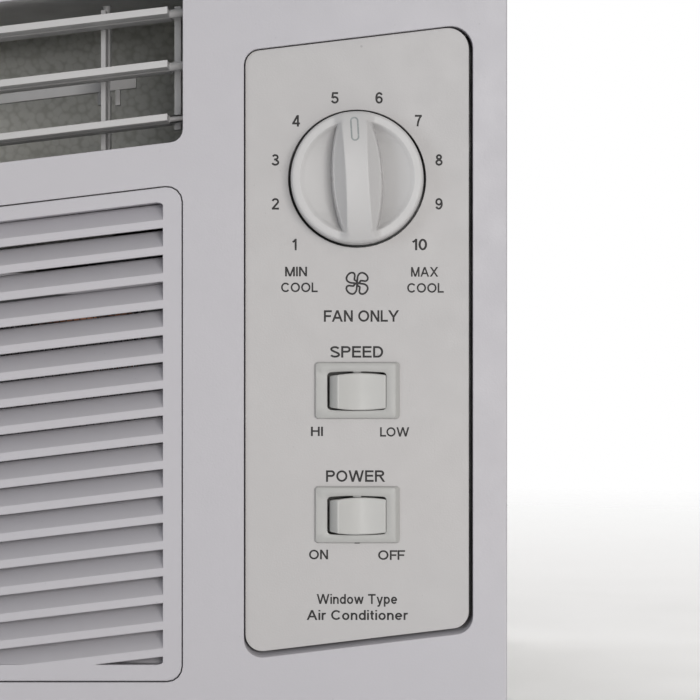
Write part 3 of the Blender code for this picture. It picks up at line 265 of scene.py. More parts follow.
def foam(name):
    """Expanded polystyrene: pressed beads with fine dark joints."""
    s = Shader(name, linear(226, 226, 222), 0.75, specular=0.3)
    beads = s.cells(330.0)
    s.tint(linear(196, 196, 190), s.span(beads, 0.45, 0.8), 0.8)
    s.tint(linear(214, 211, 200), s.span(s.noise(12.0, 3.0), 0.5, 0.8), 0.6)
    s.rough(s.noise(80.0), 0.66, 0.84)
    s.bump(s.span(beads, 0.2, 0.8, 1.0, 0.0), 0.25)
    return s.done()


def rubber(name):
    """Moulded rubber with a dusty bloom."""
    s = Shader(name, (0.022, 0.022, 0.022), 0.75, specular=0.3)
    s.tint((0.075, 0.073, 0.07), s.span(s.noise(120.0, 4.0), 0.5, 0.8), 0.6)
    s.rough(s.noise(300.0), 0.65, 0.9)
    s.bump(s.noise(1500.0), 0.03)
    return s.done()


def zinc(name):
    """Bright zinc plate with a faint yellow and blue passivate."""
    s = Shader(name, (0.62, 0.63, 0.64), 0.3, metallic=1.0)
    s.tint((0.66, 0.60, 0.45), s.span(s.noise(90.0, 3.0), 0.45, 0.7), 0.6)
    s.tint((0.48, 0.54, 0.66), s.span(s.noise(140.0, 2.0, distortion=1.0), 0.55, 0.75), 0.5)
    s.rough(s.noise(260.0), 0.22, 0.45)
    s.bump(s.noise(900.0), 0.012)
    return s.done()


def brushed_can(name):
    """Drawn aluminium can, brushed round its girth."""
    s = Shader(name, (0.74, 0.75, 0.76), 0.3, metallic=1.0)
    s.tint((0.56, 0.57, 0.58), s.noise(1.0, 3.0, s.stretched(60.0, 60.0, 1600.0)), 0.8)
    s.rough(s.noise(1.0, 2.0, s.stretched(60.0, 60.0, 900.0)), 0.22, 0.42)
    s.bump(s.noise(1.0, 2.0, s.stretched(50.0, 50.0, 1800.0)), 0.01)
    return s.done()


def woven(name):
    """Dark nylon thread with lint caught on it."""
    s = Shader(name, linear(74, 76, 78), 0.5)
    s.tint(linear(120, 116, 108), s.span(s.noise(25.0, 4.0), 0.5, 0.8), 0.5)
    s.rough(s.noise(300.0), 0.4, 0.6)
    s.bump(s.noise(2500.0), 0.01)
    return s.done()


def ink_and_painted_shade(name, colour, rough):
    """Pad printing ink, also used for the pointer mark's painted shade: slightly uneven in tone and
    sheen.
    """
    s = Shader(name, colour, rough)
    s.tint(tuple(c * 1.8 + 0.004 for c in colour), s.span(s.noise(900.0, 3.0), 0.5, 0.75), 0.5)
    s.rough(s.noise(700.0), rough - 0.1, rough + 0.1)
    s.bump(s.noise(2200.0), 0.006)
    return s.done()


FASCIA = moulded("fascia_plastic", linear(191, 189, 194), 0.42, 1300.0, 0.035, 0.012, 0.3,
                 eased=0.5)
PANEL = moulded("panel_plastic", linear(190, 188, 188), 0.46, 1500.0, 0.045, 0.014, 0.3,
                eased=0.3)
KNOB = moulded("knob_plastic", linear(201, 200, 200), 0.45, 2000.0, 0.008, 0.01, specular=0.4)
SWITCH = moulded("switch_nylon", linear(191, 191, 189), 0.42, 1600.0, 0.008, 0.012, 0.2)
BEZEL = moulded("switch_bezel", linear(178, 178, 176), 0.42, 1600.0, 0.012, 0.012, 0.2)
# the pointer mark's groove is not cut; this grey stands in for the shade inside it: painted shade
MARK_PAINTED_SHADE = ink_and_painted_shade("pointer_mark", linear(150, 155, 155), 0.5)
LOUVER = moulded("louver_plastic", linear(192, 191, 191), 0.40, 1400.0, 0.02, 0.014, 0.4)
DARK = moulded("fan_plastic", linear(66, 67, 69), 0.45, 1200.0, 0.03, 0.05)
FILTER = moulded("filter_plastic", linear(96, 98, 100), 0.5, 1200.0, 0.03, 0.04)
INK = ink_and_painted_shade("legend_ink", linear(20, 17, 18), 0.55)
NET = woven("filter_net")
GALVANISED = galvanised("galvanised_sheet")
PAINTED = painted("painted_cabinet")
COPPER = copper("copper_tube")
FINS = fins("fin_aluminium")
BLACK = enamel("black_enamel")
FOAM = foam("duct_foam")
RUBBER = rubber("grommet_rubber")
ZINC = zinc("zinc_plated")
CAN = brushed_can("can_aluminium")

FINISH = {
    "fascia_plastic": FASCIA, "louver_plastic": LOUVER, "panel_plastic": PANEL,
    "knob_plastic": KNOB, "switch_nylon": SWITCH, "filter_plastic": FILTER, "filter_net": NET,
    "zinc_plated": ZINC, "galvanised_sheet": GALVANISED, "copper_tube": COPPER,
    "can_aluminium": CAN, "duct_foam": FOAM, "fan_plastic": DARK, "black_enamel": BLACK,
    "fin_aluminium": FINS, "grommet_rubber": RUBBER, "painted_cabinet": PAINTED,
}
slot_of = {node: thing.data.materials[0].name.split(".")[0] for node, thing in nodes.items()}


# ---------------------------------------------------------------- making pieces
MERGE_METRES = 2e-6  # corners closer than this are one
FLAT_DEGREES = 0.4  # faces that differ less than this are one plane


def rounded(piece, width, segments=2, angle=32.0):
    """Rounds the edges sharper than an angle in degrees."""
    bevel = piece.modifiers.new("edges", "BEVEL")
    bevel.width = width * MM
    bevel.segments = segments
    bevel.limit_method = "ANGLE"
    bevel.angle_limit = math.radians(angle)
    bevel.use_clamp_overlap = True
    bevel.miter_outer = "MITER_ARC"
    return bevel


def settle(piece, body, material, stands_for=(), angle=32.0):
    """Shades a new piece, finishes it and puts it on its body."""
    mesh = piece.data
    mesh.materials.clear()
    mesh.materials.append(material)
    mesh.shade_smooth()
    mesh.set_sharp_from_angle(angle=math.radians(angle))
    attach(piece, body)
    if stands_for:
        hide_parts(*stands_for)
    return piece


def piece_from(name, solids, body, material, stands_for=(), angle=32.0):
    """One piece from closed solids, each given as (points in mm, faces)."""
    points = []
    faces = []
    for some_points, some_faces in solids:
        start = len(points)
        points.extend(tuple(float(c) * MM for c in p) for p in some_points)
        faces.extend(tuple(i + start for i in face) for face in some_faces)
    mesh = bpy.data.meshes.new(name)
    mesh.from_pydata(points, [], faces)
    bm = bmesh.new()
    bm.from_mesh(mesh)
    bmesh.ops.recalc_face_normals(bm, faces=bm.faces)
    bm.to_mesh(mesh)
    bm.free()
    piece = bpy.data.objects.new(name, mesh)
    scene.collection.objects.link(piece)
    return settle(piece, body, material, stands_for, angle)


def refined(node, bevel=0.3):
    """A CAD node's own shape with its facets joined, its edges eased and its curves smooth."""
    bm = bmesh.new()
    bm.from_mesh(nodes[node].data)
    bmesh.ops.remove_doubles(bm, verts=bm.verts, dist=MERGE_METRES)
    if bevel:
        bmesh.ops.dissolve_limit(bm, angle_limit=math.radians(FLAT_DEGREES), verts=bm.verts,
                                 edges=bm.edges)
    for layer in list(bm.loops.layers.float_vector.values()):
        bm.loops.layers.float_vector.remove(layer)
    mesh = bpy.data.meshes.new(node + "_skin")
    bm.to_mesh(mesh)
    bm.free()
    for name in [a.name for a in mesh.attributes if a.name.startswith("custom_normal")]:
        mesh.attributes.remove(mesh.attributes[name])
    piece = bpy.data.objects.new(node + "_skin", mesh)
    scene.collection.objects.link(piece)
    if bevel:
        rounded(piece, bevel)
    else:
        even = piece.modifiers.new("even_shading", "WEIGHTED_NORMAL")
        even.weight = 100
        even.keep_sharp = True
    settle(piece, body_of[node], FINISH[slot_of[node]], (node,))


def block(x0, x1, y0, y1, z0, z1):
    """Points and faces of a box."""
    points = [(x, y, z) for x in (x0, x1) for y in (y0, y1) for z in (z0, z1)]
    return points, [(0, 1, 3, 2), (4, 6, 7, 5), (0, 4, 5, 1), (2, 3, 7, 6), (0, 2, 6, 4),
                    (1, 5, 7, 3)]


def loft(loops, closed=False, caps=True):
    """Quads between loops of equal length, with end caps unless the loops close on themselves."""
    count = len(loops[0])
    points = [p for loop in loops for p in loop]
    faces = []
    pairs = list(zip(range(len(loops)), range(1, len(loops))))
    if closed:
        pairs.append((len(loops) - 1, 0))
    for a, b in pairs:
        for i in range(count):
            j = (i + 1) % count
            faces.append((a * count + i, a * count + j, b * count + j, b * count + i))
    if caps and not closed:
        faces.append(tuple(range(count)))
        faces.append(tuple(reversed(range((len(loops) - 1) * count, len(loops) * count))))
    return points, faces


def pipe(path, radius, sides=12):
    """A round tube along a path, its section carried without twist."""
    path = [Vector(p) for p in path]
    tangents = []
    for i in range(len(path)):
        tangents.append((path[min(i + 1, len(path) - 1)] - path[max(i - 1, 0)]).normalized())
    across = tangents[0].orthogonal().normalized()
    loops = []
    for point, tangent in zip(path, tangents):
        across = (across - tangent * across.dot(tangent)).normalized()
        other = tangent.cross(across)
        loops.append([tuple(point + (across * math.cos(a) + other * math.sin(a)) * radius)
                      for a in (2 * math.pi * k / sides for k in range(sides))])
    return loft(loops)


def turned(profile, centre, axis="Y", steps=48):
    """A closed solid of revolution; the profile is (radius, distance along the axis)."""
    loops = []
    for r, d in profile:
        loop = []
        for k in range(steps):
            a = 2 * math.pi * k / steps
            p, q = max(r, 0.02) * math.cos(a), max(r, 0.02) * math.sin(a)
            offset = {"X": (d, p, q), "Y": (p, d, q), "Z": (p, q, d)}[axis]
            loop.append(tuple(c + o for c, o in zip(centre, offset)))
        loops.append(loop)
    return loft(loops)


def spline(points, steps, closed=False):
    """A smooth line through the points."""
    points = [np.array(p, float) for p in points]
    count = len(points)
    made = []
    for i in range(count if closed else count - 1):
        if closed:
            a, b, c, d = (points[(i + k) % count] for k in (-1, 0, 1, 2))
        else:
            a, b = points[max(i - 1, 0)], points[i]
            c, d = points[i + 1], points[min(i + 2, count - 1)]
        for step in range(steps):
            t = step / steps
            made.append(0.5 * (2 * b + (c - a) * t + (2 * a - 5 * b + 4 * c - d) * t ** 2
                               + (3 * b - a - 3 * c + d) * t ** 3))
    if not closed:
        made.append(points[-1])
    return made


def ribbon(path, width, lift, sink):
    """A closed raised line round a loop of (x, z) points; lift and sink give Y at a point."""
    loops = []
    count = len(path)
    for i in range(count):
        along = path[(i + 1) % count] - path[i - 1]
        normal = np.array((-along[1], along[0])) / np.hypot(*along) * width / 2
        outer, inner = path[i] + normal, path[i] - normal
        loops.append([(outer[0], lift(*outer), outer[1]), (inner[0], lift(*inner), inner[1]),
                      (inner[0], sink(*inner), inner[1]), (outer[0], sink(*outer), outer[1])])
    return loft(loops, closed=True)


# ---------------------------------------------------------------- legends on the panel
INK_LIFT = 0.04  # ink stands this far off the panel
INK_SINK = 0.06  # and reaches this far into it
STACK = 0.003  # each stroke of a letter lies this much over the last
PEN = 0.172  # stroke of the plain sans capitals, cap height 1
H = PEN / 2
LOW = 0.725  # height of the small letters
SPACING = 0.11


def arc(cx, cy, rx, ry, start, end):
    """Points on an ellipse from one angle in degrees to the other."""
    count = max(4, int(abs(end - start) / 9))
    turn = np.radians(np.linspace(start, end, count + 1))
    return [(cx + rx * math.cos(a), cy + ry * math.sin(a)) for a in turn]


def bar(x0, y0, x1, y1):
    """A straight stroke, cut level if it is steep and upright if it is flat."""
    dx, dy = x1 - x0, y1 - y0
    if abs(dy) > abs(dx):
        w = H * math.hypot(dx, dy) / abs(dy)
        return [(x0 - w, y0), (x0 + w, y0), (x1 + w, y1), (x1 - w, y1)]
    w = H * math.hypot(dx, dy) / abs(dx)
    return [(x0, y0 - w), (x1, y1 - w), (x1, y1 + w), (x0, y0 + w)]


def band(points, closed=False):
    """The two edges of a curved stroke."""
    line = np.array(points)
    if closed:
        line = line[:-1]
        ahead, behind = np.roll(line, -1, 0), np.roll(line, 1, 0)
    else:
        ahead = np.vstack((line[1:], line[-1:]))
        behind = np.vstack((line[:1], line[:-1]))
    way = ahead - behind
    way /= np.linalg.norm(way, axis=1)[:, None]
    side = np.stack((-way[:, 1], way[:, 0]), 1) * H
    return [tuple(q) for q in line - side], [tuple(q) for q in line + side], closed


def upright(x, low=0.0, high=1.0):
    """A vertical stroke."""
    return bar(x, low, x, high)


def level(y, x0, x1):
    """A horizontal stroke."""
    return bar(x0, y, x1, y)


def bowl(x, width, cy, ry):
    """The round half of a D, P or R; its curve starts at x."""
    return band([(H, cy + ry)] + arc(x, cy, width - H - x, ry, 90, -90) + [(H, cy - ry)])


def ring(cx, cy, rx, ry):
    """A closed oval stroke of this outer size."""
    return band(arc(cx, cy, rx - H, ry - H, 0, 360), True)


SIX = [ring(0.34, 0.325, 0.325, 0.325), band(arc(0.36, 0.5, 0.285, 0.5 - H, 38, 212))]
GLYPHS = {
    " ": (0.25, []),
    "A": (0.92, [bar(0.07, 0, 0.46, 1), bar(0.85, 0, 0.46, 1), level(0.34, 0.18, 0.74)]),
    "C": (0.87, [band(arc(0.46, 0.5, 0.46 - H, 0.5 - H, 38, 322))]),
    "D": (0.82, [upright(H), bowl(0.36, 0.82, 0.5, 0.5 - H)]),
    "E": (0.74, [upright(H), level(H, 0, 0.74), level(0.53, 0, 0.69), level(1 - H, 0, 0.73)]),
    "F": (0.60, [upright(H), level(0.49, 0, 0.61), level(1 - H, 0, 0.69)]),
    "H": (0.78, [upright(H), upright(0.78 - H), level(0.53, 0, 0.78)]),
    "I": (PEN, [upright(H)]),
    "L": (0.55, [upright(H), level(H, 0, 0.63)]),
    "M": (0.94, [upright(H), upright(0.94 - H), bar(0.09, 1, 0.47, 0), bar(0.85, 1, 0.47, 0)]),
    "N": (0.77, [upright(H), upright(0.77 - H), bar(0.08, 1, 0.69, 0)]),
    "O": (0.96, [ring(0.48, 0.5, 0.48, 0.5)]),
    "P": (0.77, [upright(H), bowl(0.46, 0.77, 0.715, 0.285 - H)]),
    "R": (0.86, [upright(H), bowl(0.48, 0.80, 0.73, 0.27 - H), bar(0.46, 0.48, 0.78, 0)]),
    "S": (0.78, [band(arc(0.38, 0.735, 0.29, 0.265 - H, 15, 235)
                      + arc(0.39, 0.265, 0.32, 0.265 - H, 55, -165))]),
    "T": (0.80, [upright(0.40), level(1 - H, 0, 0.80)]),
    "W": (1.30, [bar(0.07, 1, 0.35, 0), bar(0.35, 0, 0.65, 1), bar(0.65, 1, 0.95, 0),
                 bar(0.95, 0, 1.23, 1)]),
    "X": (0.90, [bar(0.09, 0, 0.80, 1), bar(0.81, 0, 0.10, 1)]),
    "Y": (0.92, [bar(0.08, 1, 0.46, 0.40), bar(0.84, 1, 0.46, 0.40), upright(0.46, 0, 0.45)]),
    "0": (0.66, [ring(0.33, 0.5, 0.33, 0.5)]),
    "1": (0.40, [upright(0.33), band([(0.33, 0.93), (0.22, 0.80), (0.06, 0.71)])]),
    "2": (0.66, [band(arc(0.32, 0.70, 0.25, 0.30 - H, 168, -38) + [(0.09, 0.10)]),
                 level(H, 0, 0.65)]),
    "3": (0.66, [band(arc(0.31, 0.735, 0.225, 0.265 - H, 162, -82)),
                 band(arc(0.31, 0.28, 0.275, 0.28 - H, 82, -165)), level(0.54, 0.21, 0.34)]),
    "4": (0.68, [upright(0.50), level(0.275, 0, 0.68), bar(0.08, 0.26, 0.475, 0.97)]),
    "5": (0.66, [level(1 - H, 0.14, 0.62), bar(0.09, 0.48, 0.165, 0.98),
                 band(arc(0.32, 0.33, 0.27, 0.33 - H, 142, -165))]),
    "6": (0.66, SIX),
    "7": (0.64, [level(1 - H, 0.0, 0.64), band([(0.57, 0.93), (0.42, 0.70), (0.30, 0.40),
                                                (0.235, 0.0)])]),
    "8": (0.66, [ring(0.33, 0.745, 0.275, 0.255), ring(0.33, 0.285, 0.33, 0.285)]),
    "d": (0.64, [ring(0.32, 0.36, 0.32, 0.37), upright(0.64 - H)]),
    "e": (0.66, [level(0.36, 0.10, 0.60), band(arc(0.33, 0.36, 0.33 - H, 0.37 - H, 0, 320))]),
    "i": (PEN, [upright(H, 0, LOW), upright(H, 0.86, 1.0)]),
    "n": (0.60, [upright(H, 0, LOW), band(arc(0.31, 0.42, 0.29 - H, 0.31 - H, 175, 0)
                                          + [(0.60 - H, 0.0)])]),
    "o": (0.66, [ring(0.33, 0.36, 0.33, 0.37)]),
    "p": (0.64, [ring(0.32, 0.36, 0.32, 0.37), upright(H, -0.28, LOW)]),
    "r": (0.38, [upright(H, 0, LOW), band(arc(0.30, 0.40, 0.22, 0.33 - H, 175, 68))]),
    "t": (0.34, [upright(0.15, 0.20, 0.93), level(LOW - H, 0, 0.33),
                 band(arc(0.27, 0.20, 0.12, 0.20 - H, 182, 285))]),
    "w": (0.98, [bar(0.07, LOW, 0.27, 0), bar(0.27, 0, 0.49, LOW), bar(0.49, LOW, 0.71, 0),
                 bar(0.71, 0, 0.91, LOW)]),
    "y": (0.64, [bar(0.07, LOW, 0.32, 0.0), bar(0.57, LOW, 0.29, -0.12),
                 band([(0.31, -0.06), (0.24, -0.20), (0.08, -0.21)])]),
}
GLYPHS["9"] = (0.66, [([(0.66 - x, 1 - y) for x, y in near], [(0.66 - x, 1 - y) for x, y in far],
                       closed) for near, far, closed in SIX])


def strip(near, far, closed, place, depth):
    """A printed stroke as a thin solid: its two edges, front and back."""
    rows = [place(near[i]) + place(far[i]) for i in range(len(near))]
    loops = []
    for x0, z0, x1, z1 in rows:
        loops.append([(x0, PANEL_Y - depth, z0), (x1, PANEL_Y - depth, z1),
                      (x1, PANEL_Y + INK_SINK, z1), (x0, PANEL_Y + INK_SINK, z0)])
    return loft(loops, closed=closed, caps=not closed)


def lettering(words, x, z, width, cap):
    """Printed words, their ink width and capital height in mm, centred on (x, z) of the panel."""
    total = sum(GLYPHS[c][0] for c in words) + SPACING * (len(words) - 1)
    at = 0.0
    solids = []
    for c in words:
        advance, strokes = GLYPHS[c]

        def place(point):
            return (PANEL_X + x + (at + point[0] - total / 2) * width / total,
                    PANEL_Z + z + (point[1] - 0.5) * cap)
        for k, stroke in enumerate(strokes):
            depth = INK_LIFT + STACK * k
            if isinstance(stroke, list):
                near, far = [stroke[0], stroke[3]], [stroke[1], stroke[2]]
                solids.append(strip(near, far, False, place, depth))
            else:
                solids.append(strip(*stroke, place, depth))
        at += advance + SPACING
    return solids


LEGENDS = [  # words, x and z from the panel's middle, width, cap height
    ("5", -8.3, 90.3, 2.7, 4.3), ("6", 8.2, 90.3, 2.7, 4.3), ("4", -22.8, 81.7, 2.9, 4.3),
    ("7", 22.9, 81.8, 2.6, 4.3), ("3", -30.5, 67.1, 2.7, 4.3), ("8", 30.6, 67.1, 2.7, 4.3),
    ("2", -30.5, 50.7, 2.7, 4.3), ("9", 30.6, 50.7, 2.7, 4.3),
    ("1", -23.5, 35.5, 1.7, 4.3), ("10", 23.3, 35.5, 5.7, 4.3),
    ("MIN", -22.8, 25.4, 8.2, 3.6), ("COOL", -21.7, 19.5, 13.4, 3.6),
    ("MAX", 25.2, 25.3, 10.1, 3.6), ("COOL", 25.4, 19.3, 13.4, 3.6),
    ("FAN ONLY", 1.6, 8.8, 28.0, 4.3), ("SPEED", -0.15, -4.6, 19.8, 4.3),
    ("HI", -15.0, -34.3, 4.5, 3.5), ("LOW", 14.0, -34.5, 10.8, 3.5),
    ("POWER", -0.6, -51.0, 22.0, 4.3), ("ON", -14.4, -80.3, 7.1, 3.6),
    ("OFF", 12.7, -80.5, 9.7, 3.6),
    ("Window Type", 0.0, -96.9, 30.0, 3.7), ("Air Conditioner", 0.1, -102.9, 37.7, 3.7),
]
printed = [solid for legend in LEGENDS for solid in lettering(*legend)]
FAN_Z = 21.0  # the fan symbol's middle above the panel's
PETAL_LINE = 0.7
petal = [(0.05, 0.1), (0.1, 1.3), (0.3, 2.7), (1.0, 3.7), (2.1, 3.95), (3.3, 3.3), (3.95, 2.3),
         (3.85, 1.3), (3.1, 0.85), (2.1, 0.95), (1.3, 0.95), (0.95, 0.35)]
for quarter in range(4):
    a = math.pi / 2 * quarter
    path = [np.array((PANEL_X + p[0] * math.cos(a) - p[1] * math.sin(a),
                      PANEL_Z + FAN_Z + p[0] * math.sin(a) + p[1] * math.cos(a)))
            for p in spline(petal, 5, closed=True)]
    lift = INK_LIFT + 0.004 * quarter
    printed.append(ribbon(path, PETAL_LINE, lambda x, z: PANEL_Y - lift,
                          lambda x, z: PANEL_Y + INK_SINK))
piece_from("panel_legends", printed, "root", INK)


# ---------------------------------------------------------------- temperature knob
KNOB_TURN = math.radians(3.0)  # the pictured knob stands this far off upright
KNOB_TOP_R = KNOB_R - 0.35
KNOB_CORNER = 1.1  # rounding of the rim's outer edge
RIM = 8.0  # height of the rim
RIM_BOW = 0.14  # its fall to either side of its crown
RIM_LIP = 0.1  # raised line between rim and dish
DISH_R = 21.1
DISH_STEP = 0.26  # the dish starts this far under the rim
FLOOR = 1.9  # height of the dish beside the grip
FOOT = 9.2  # half width of the grip at its foot, in the middle
FOOT_TAPER = 3.4  # how much less that is at its ends
CREST = 4.25  # half width of its top, in the middle
CREST_SPREAD = 0.85  # how much more that is at its ends
FLANK_STEP = 0.15  # edge between top and flank
FLANK_FALL = 5.6
LEDGE = 0.65  # flat ledge along the flank's foot
HOLLOW = 0.16  # the top is this much lower along its middle
KNOB_SKIRT = -4.9  # how deep the knob reaches behind the panel's face
KNOB_BORE_R = 18.0
TURNS = 336  # points round the knob


def smoothly(t):
    """0 to 1 with a soft start and end."""
    t = np.clip(t, 0, 1)
    return t * t * (3 - 2 * t)


def knob_proud(u, v):
    """How far the knob stands off the panel at a point across (u) and along (v) its grip."""
    r = np.hypot(u, v)
    along = np.abs(v) / KNOB_R
    across = np.abs(u)
    foot = FOOT - FOOT_TAPER * np.clip(np.abs(v) / DISH_R, 0, 1.05) ** 2.2
    crest = CREST + CREST_SPREAD * along ** 2
    top = RIM + (KNOB_PROUD - RIM) * (1 - along ** 2.6)
    shelf = top - 0.5 - FLANK_FALL * (foot - crest) / 4.9
    rim = (RIM - RIM_BOW * ((r - 22.4) / 1.6) ** 2
           + RIM_LIP * np.exp(-((r - 21.4) / 0.25) ** 2))
    edge = np.sqrt(np.clip(DISH_R ** 2 - v ** 2, 0.01, None))
    t = np.clip((across - foot) / np.clip(edge - foot, 0.5, None), 0, 1)
    brink = RIM - DISH_STEP
    low = brink - (brink - FLOOR) * np.clip((edge - foot) / 9.0, 0, 1) ** 0.6
    floor = np.where(r < DISH_R, low + (brink - low) * t ** 0.85, rim)
    slope = np.clip((across - crest) / np.clip(foot - LEDGE - crest, 0.3, None), 0, 1)
    flank = top - FLANK_STEP + (shelf - top + FLANK_STEP) * slope ** 0.95
    hollow = HOLLOW * (1 - np.clip(across / crest, 0, 1) ** 2) * np.clip(1.15 - along, 0, 1)
    grip = np.where(across < crest, top - hollow, np.where(across < foot, flank, -9.0))
    body = np.maximum(floor, grip)
    # near the rim the grip runs out into it without a step
    fall = 1 - smoothly((across - crest + 1.3) / 4.6)
    blended = rim + np.clip(top - rim, 0, None) * fall
    body = body + (blended - body) * smoothly((r - 19.6) / 2.2)
    past = np.clip(r - (KNOB_TOP_R - KNOB_CORNER), 0, KNOB_CORNER)
    return body - (KNOB_CORNER - np.sqrt(KNOB_CORNER ** 2 - past ** 2))


def knob_surface(u, v):
    """The same with every edge softened to about a quarter of a millimetre."""
    total = knob_proud(u, v)
    count = 1
    for spread, ways in ((0.13, 6), (0.28, 8)):
        for k in range(ways):
            a = 2 * math.pi * (k + 0.5) / ways
            du, dv = spread * math.cos(a), spread * math.sin(a)
            r = np.hypot(u + du, v + dv)
            shrink = np.minimum(1.0, (KNOB_TOP_R - 0.001) / np.maximum(r, 1e-6))
            total = total + knob_proud((u + du) * shrink, (v + dv) * shrink)
            count += 1
    return total / count


def on_knob(u, v, proud):
    """A point of the knob in the object's own place, with the knob's turn."""
    c, s = math.cos(KNOB_TURN), math.sin(KNOB_TURN)
    return (KNOB_X + u * c - v * s, PANEL_Y - proud, KNOB_Z + u * s + v * c)


# the rings lie closest together at the dish's edge and round the rim's outer edge
radii = list(np.arange(0.4, 20.6, 0.26)) + list(np.arange(20.7, 21.7, 0.1))
radii += list(np.arange(21.9, 23.3, 0.28))
radii += [KNOB_TOP_R - KNOB_CORNER * (1 - math.sin(math.pi / 2 * k / 9)) for k in range(10)]
angles = 2 * np.pi * np.arange(TURNS) / TURNS
rings = []
for radius in radii:
    u, v = radius * np.cos(angles), radius * np.sin(angles)
    proud = knob_surface(u, v)
    if radius >= KNOB_TOP_R - 1e-6:
        proud = np.minimum(proud, RIM - KNOB_CORNER)
    rings.append([on_knob(*p) for p in zip(u, v, proud)])
for radius, depth in ((KNOB_R - 0.2, 4.0), (KNOB_R, 0.0), (KNOB_R, KNOB_SKIRT),
                      (KNOB_BORE_R, KNOB_SKIRT)):
    rings.append([on_knob(radius * math.cos(a), radius * math.sin(a), depth) for a in angles])
knob_points, knob_faces = loft(rings, caps=False)
for row, proud in ((0, knob_proud(np.array([0.0]), np.array([0.0]))[0]),
                   (len(rings) - 1, KNOB_SKIRT)):
    centre = len(knob_points)
    knob_points.append(on_knob(0, 0, proud))
    for i in range(TURNS):
        knob_faces.append((row * TURNS + i, row * TURNS + (i + 1) % TURNS, centre))
piece_from("temperature_knob_moulding", [(knob_points, knob_faces)], "knob", KNOB,
           ("temperature_knob",), 60.0)

MARK_V = 17.5  # middle of the pointer mark along the grip
MARK_R = 1.25  # half its width
MARK_HALF = 3.1  # half its straight length
MARK_LINE = 0.6
mark = []
for side in (1, -1):
    for k in range(19):
        a = math.pi * k / 18
        mark.append(np.array((side * MARK_R * math.cos(a),
                              MARK_V + side * (MARK_HALF + MARK_R * math.sin(a)))))
    mark += [np.array((-side * MARK_R, MARK_V + side * MARK_HALF * (1 - k / 8)))
             for k in range(1, 16)]


def grip_height(u, v):
    return knob_surface(np.array([u]), np.array([v]))[0]


# a grey line raised 0.05 mm on the grip, painted where the groove's shade falls: painted shade
mark_points, mark_faces = ribbon(mark, MARK_LINE, lambda u, v: grip_height(u, v) + 0.05,
                                 lambda u, v: grip_height(u, v) - 0.4)
mark_points = [on_knob(p[0], p[2], p[1]) for p in mark_points]
piece_from("pointer_mark", [(mark_points, mark_faces)], "knob", MARK_PAINTED_SHADE)


# ---------------------------------------------------------------- rocker switches
def frame_loop(x0, x1, z0, z1, radius, y, bow=0.0):
    """A rounded rectangle with its long edges bowed outwards, 10 points a side, 7 a corner."""
    loop = []
    corners = ((x1 - radius, z1 - radius, 0), (x0 + radius, z1 - radius, 90),
               (x0 + radius, z0 + radius, 180), (x1 - radius, z0 + radius, 270))
    middle, half = (x0 + x1) / 2, (x1 - x0) / 2
    for n, (cx, cz, start) in enumerate(corners):
        for k in range(7):
            a = math.radians(start + 90 * k / 6)
            loop.append((cx + radius * math.cos(a), cz + radius * math.sin(a)))
        nx, nz, begin = corners[(n + 1) % 4]
        a = math.radians(begin)
        end = np.array((nx + radius * math.cos(a), nz + radius * math.sin(a)))
        last = np.array(loop[-1])
        for k in range(1, 10):
            loop.append(tuple(last + (end - last) * k / 10))
    made = []
    for x, z in loop:
        lift = bow * (1 - ((x - middle) / half) ** 2)
        side = 1 if z > (z0 + z1) / 2 else -1
        made.append((x, y, z + side * lift))
    return made


ROCK = math.radians(11.0)  # how far a rocker leans to either side
WINDOW = (11.1, 10.93, 7.1, 6.65, 0.45)  # left, right, below, above, bow
FLARE = 1.6  # the window widens by this behind its edge
WINDOW_CORNER = 1.3
SWITCH_DEPTH = 22.0
SWITCH_HALF = (13.8, 9.3)  # half width and half height behind the panel
PIVOT_DEPTH = 7.26  # the rocker's pin behind the bezel's front
PIVOT_DROP = 0.25  # the rocker's body sits this much lower than its pin
PIN_R = 1.5
PIN_HALF = 6.98


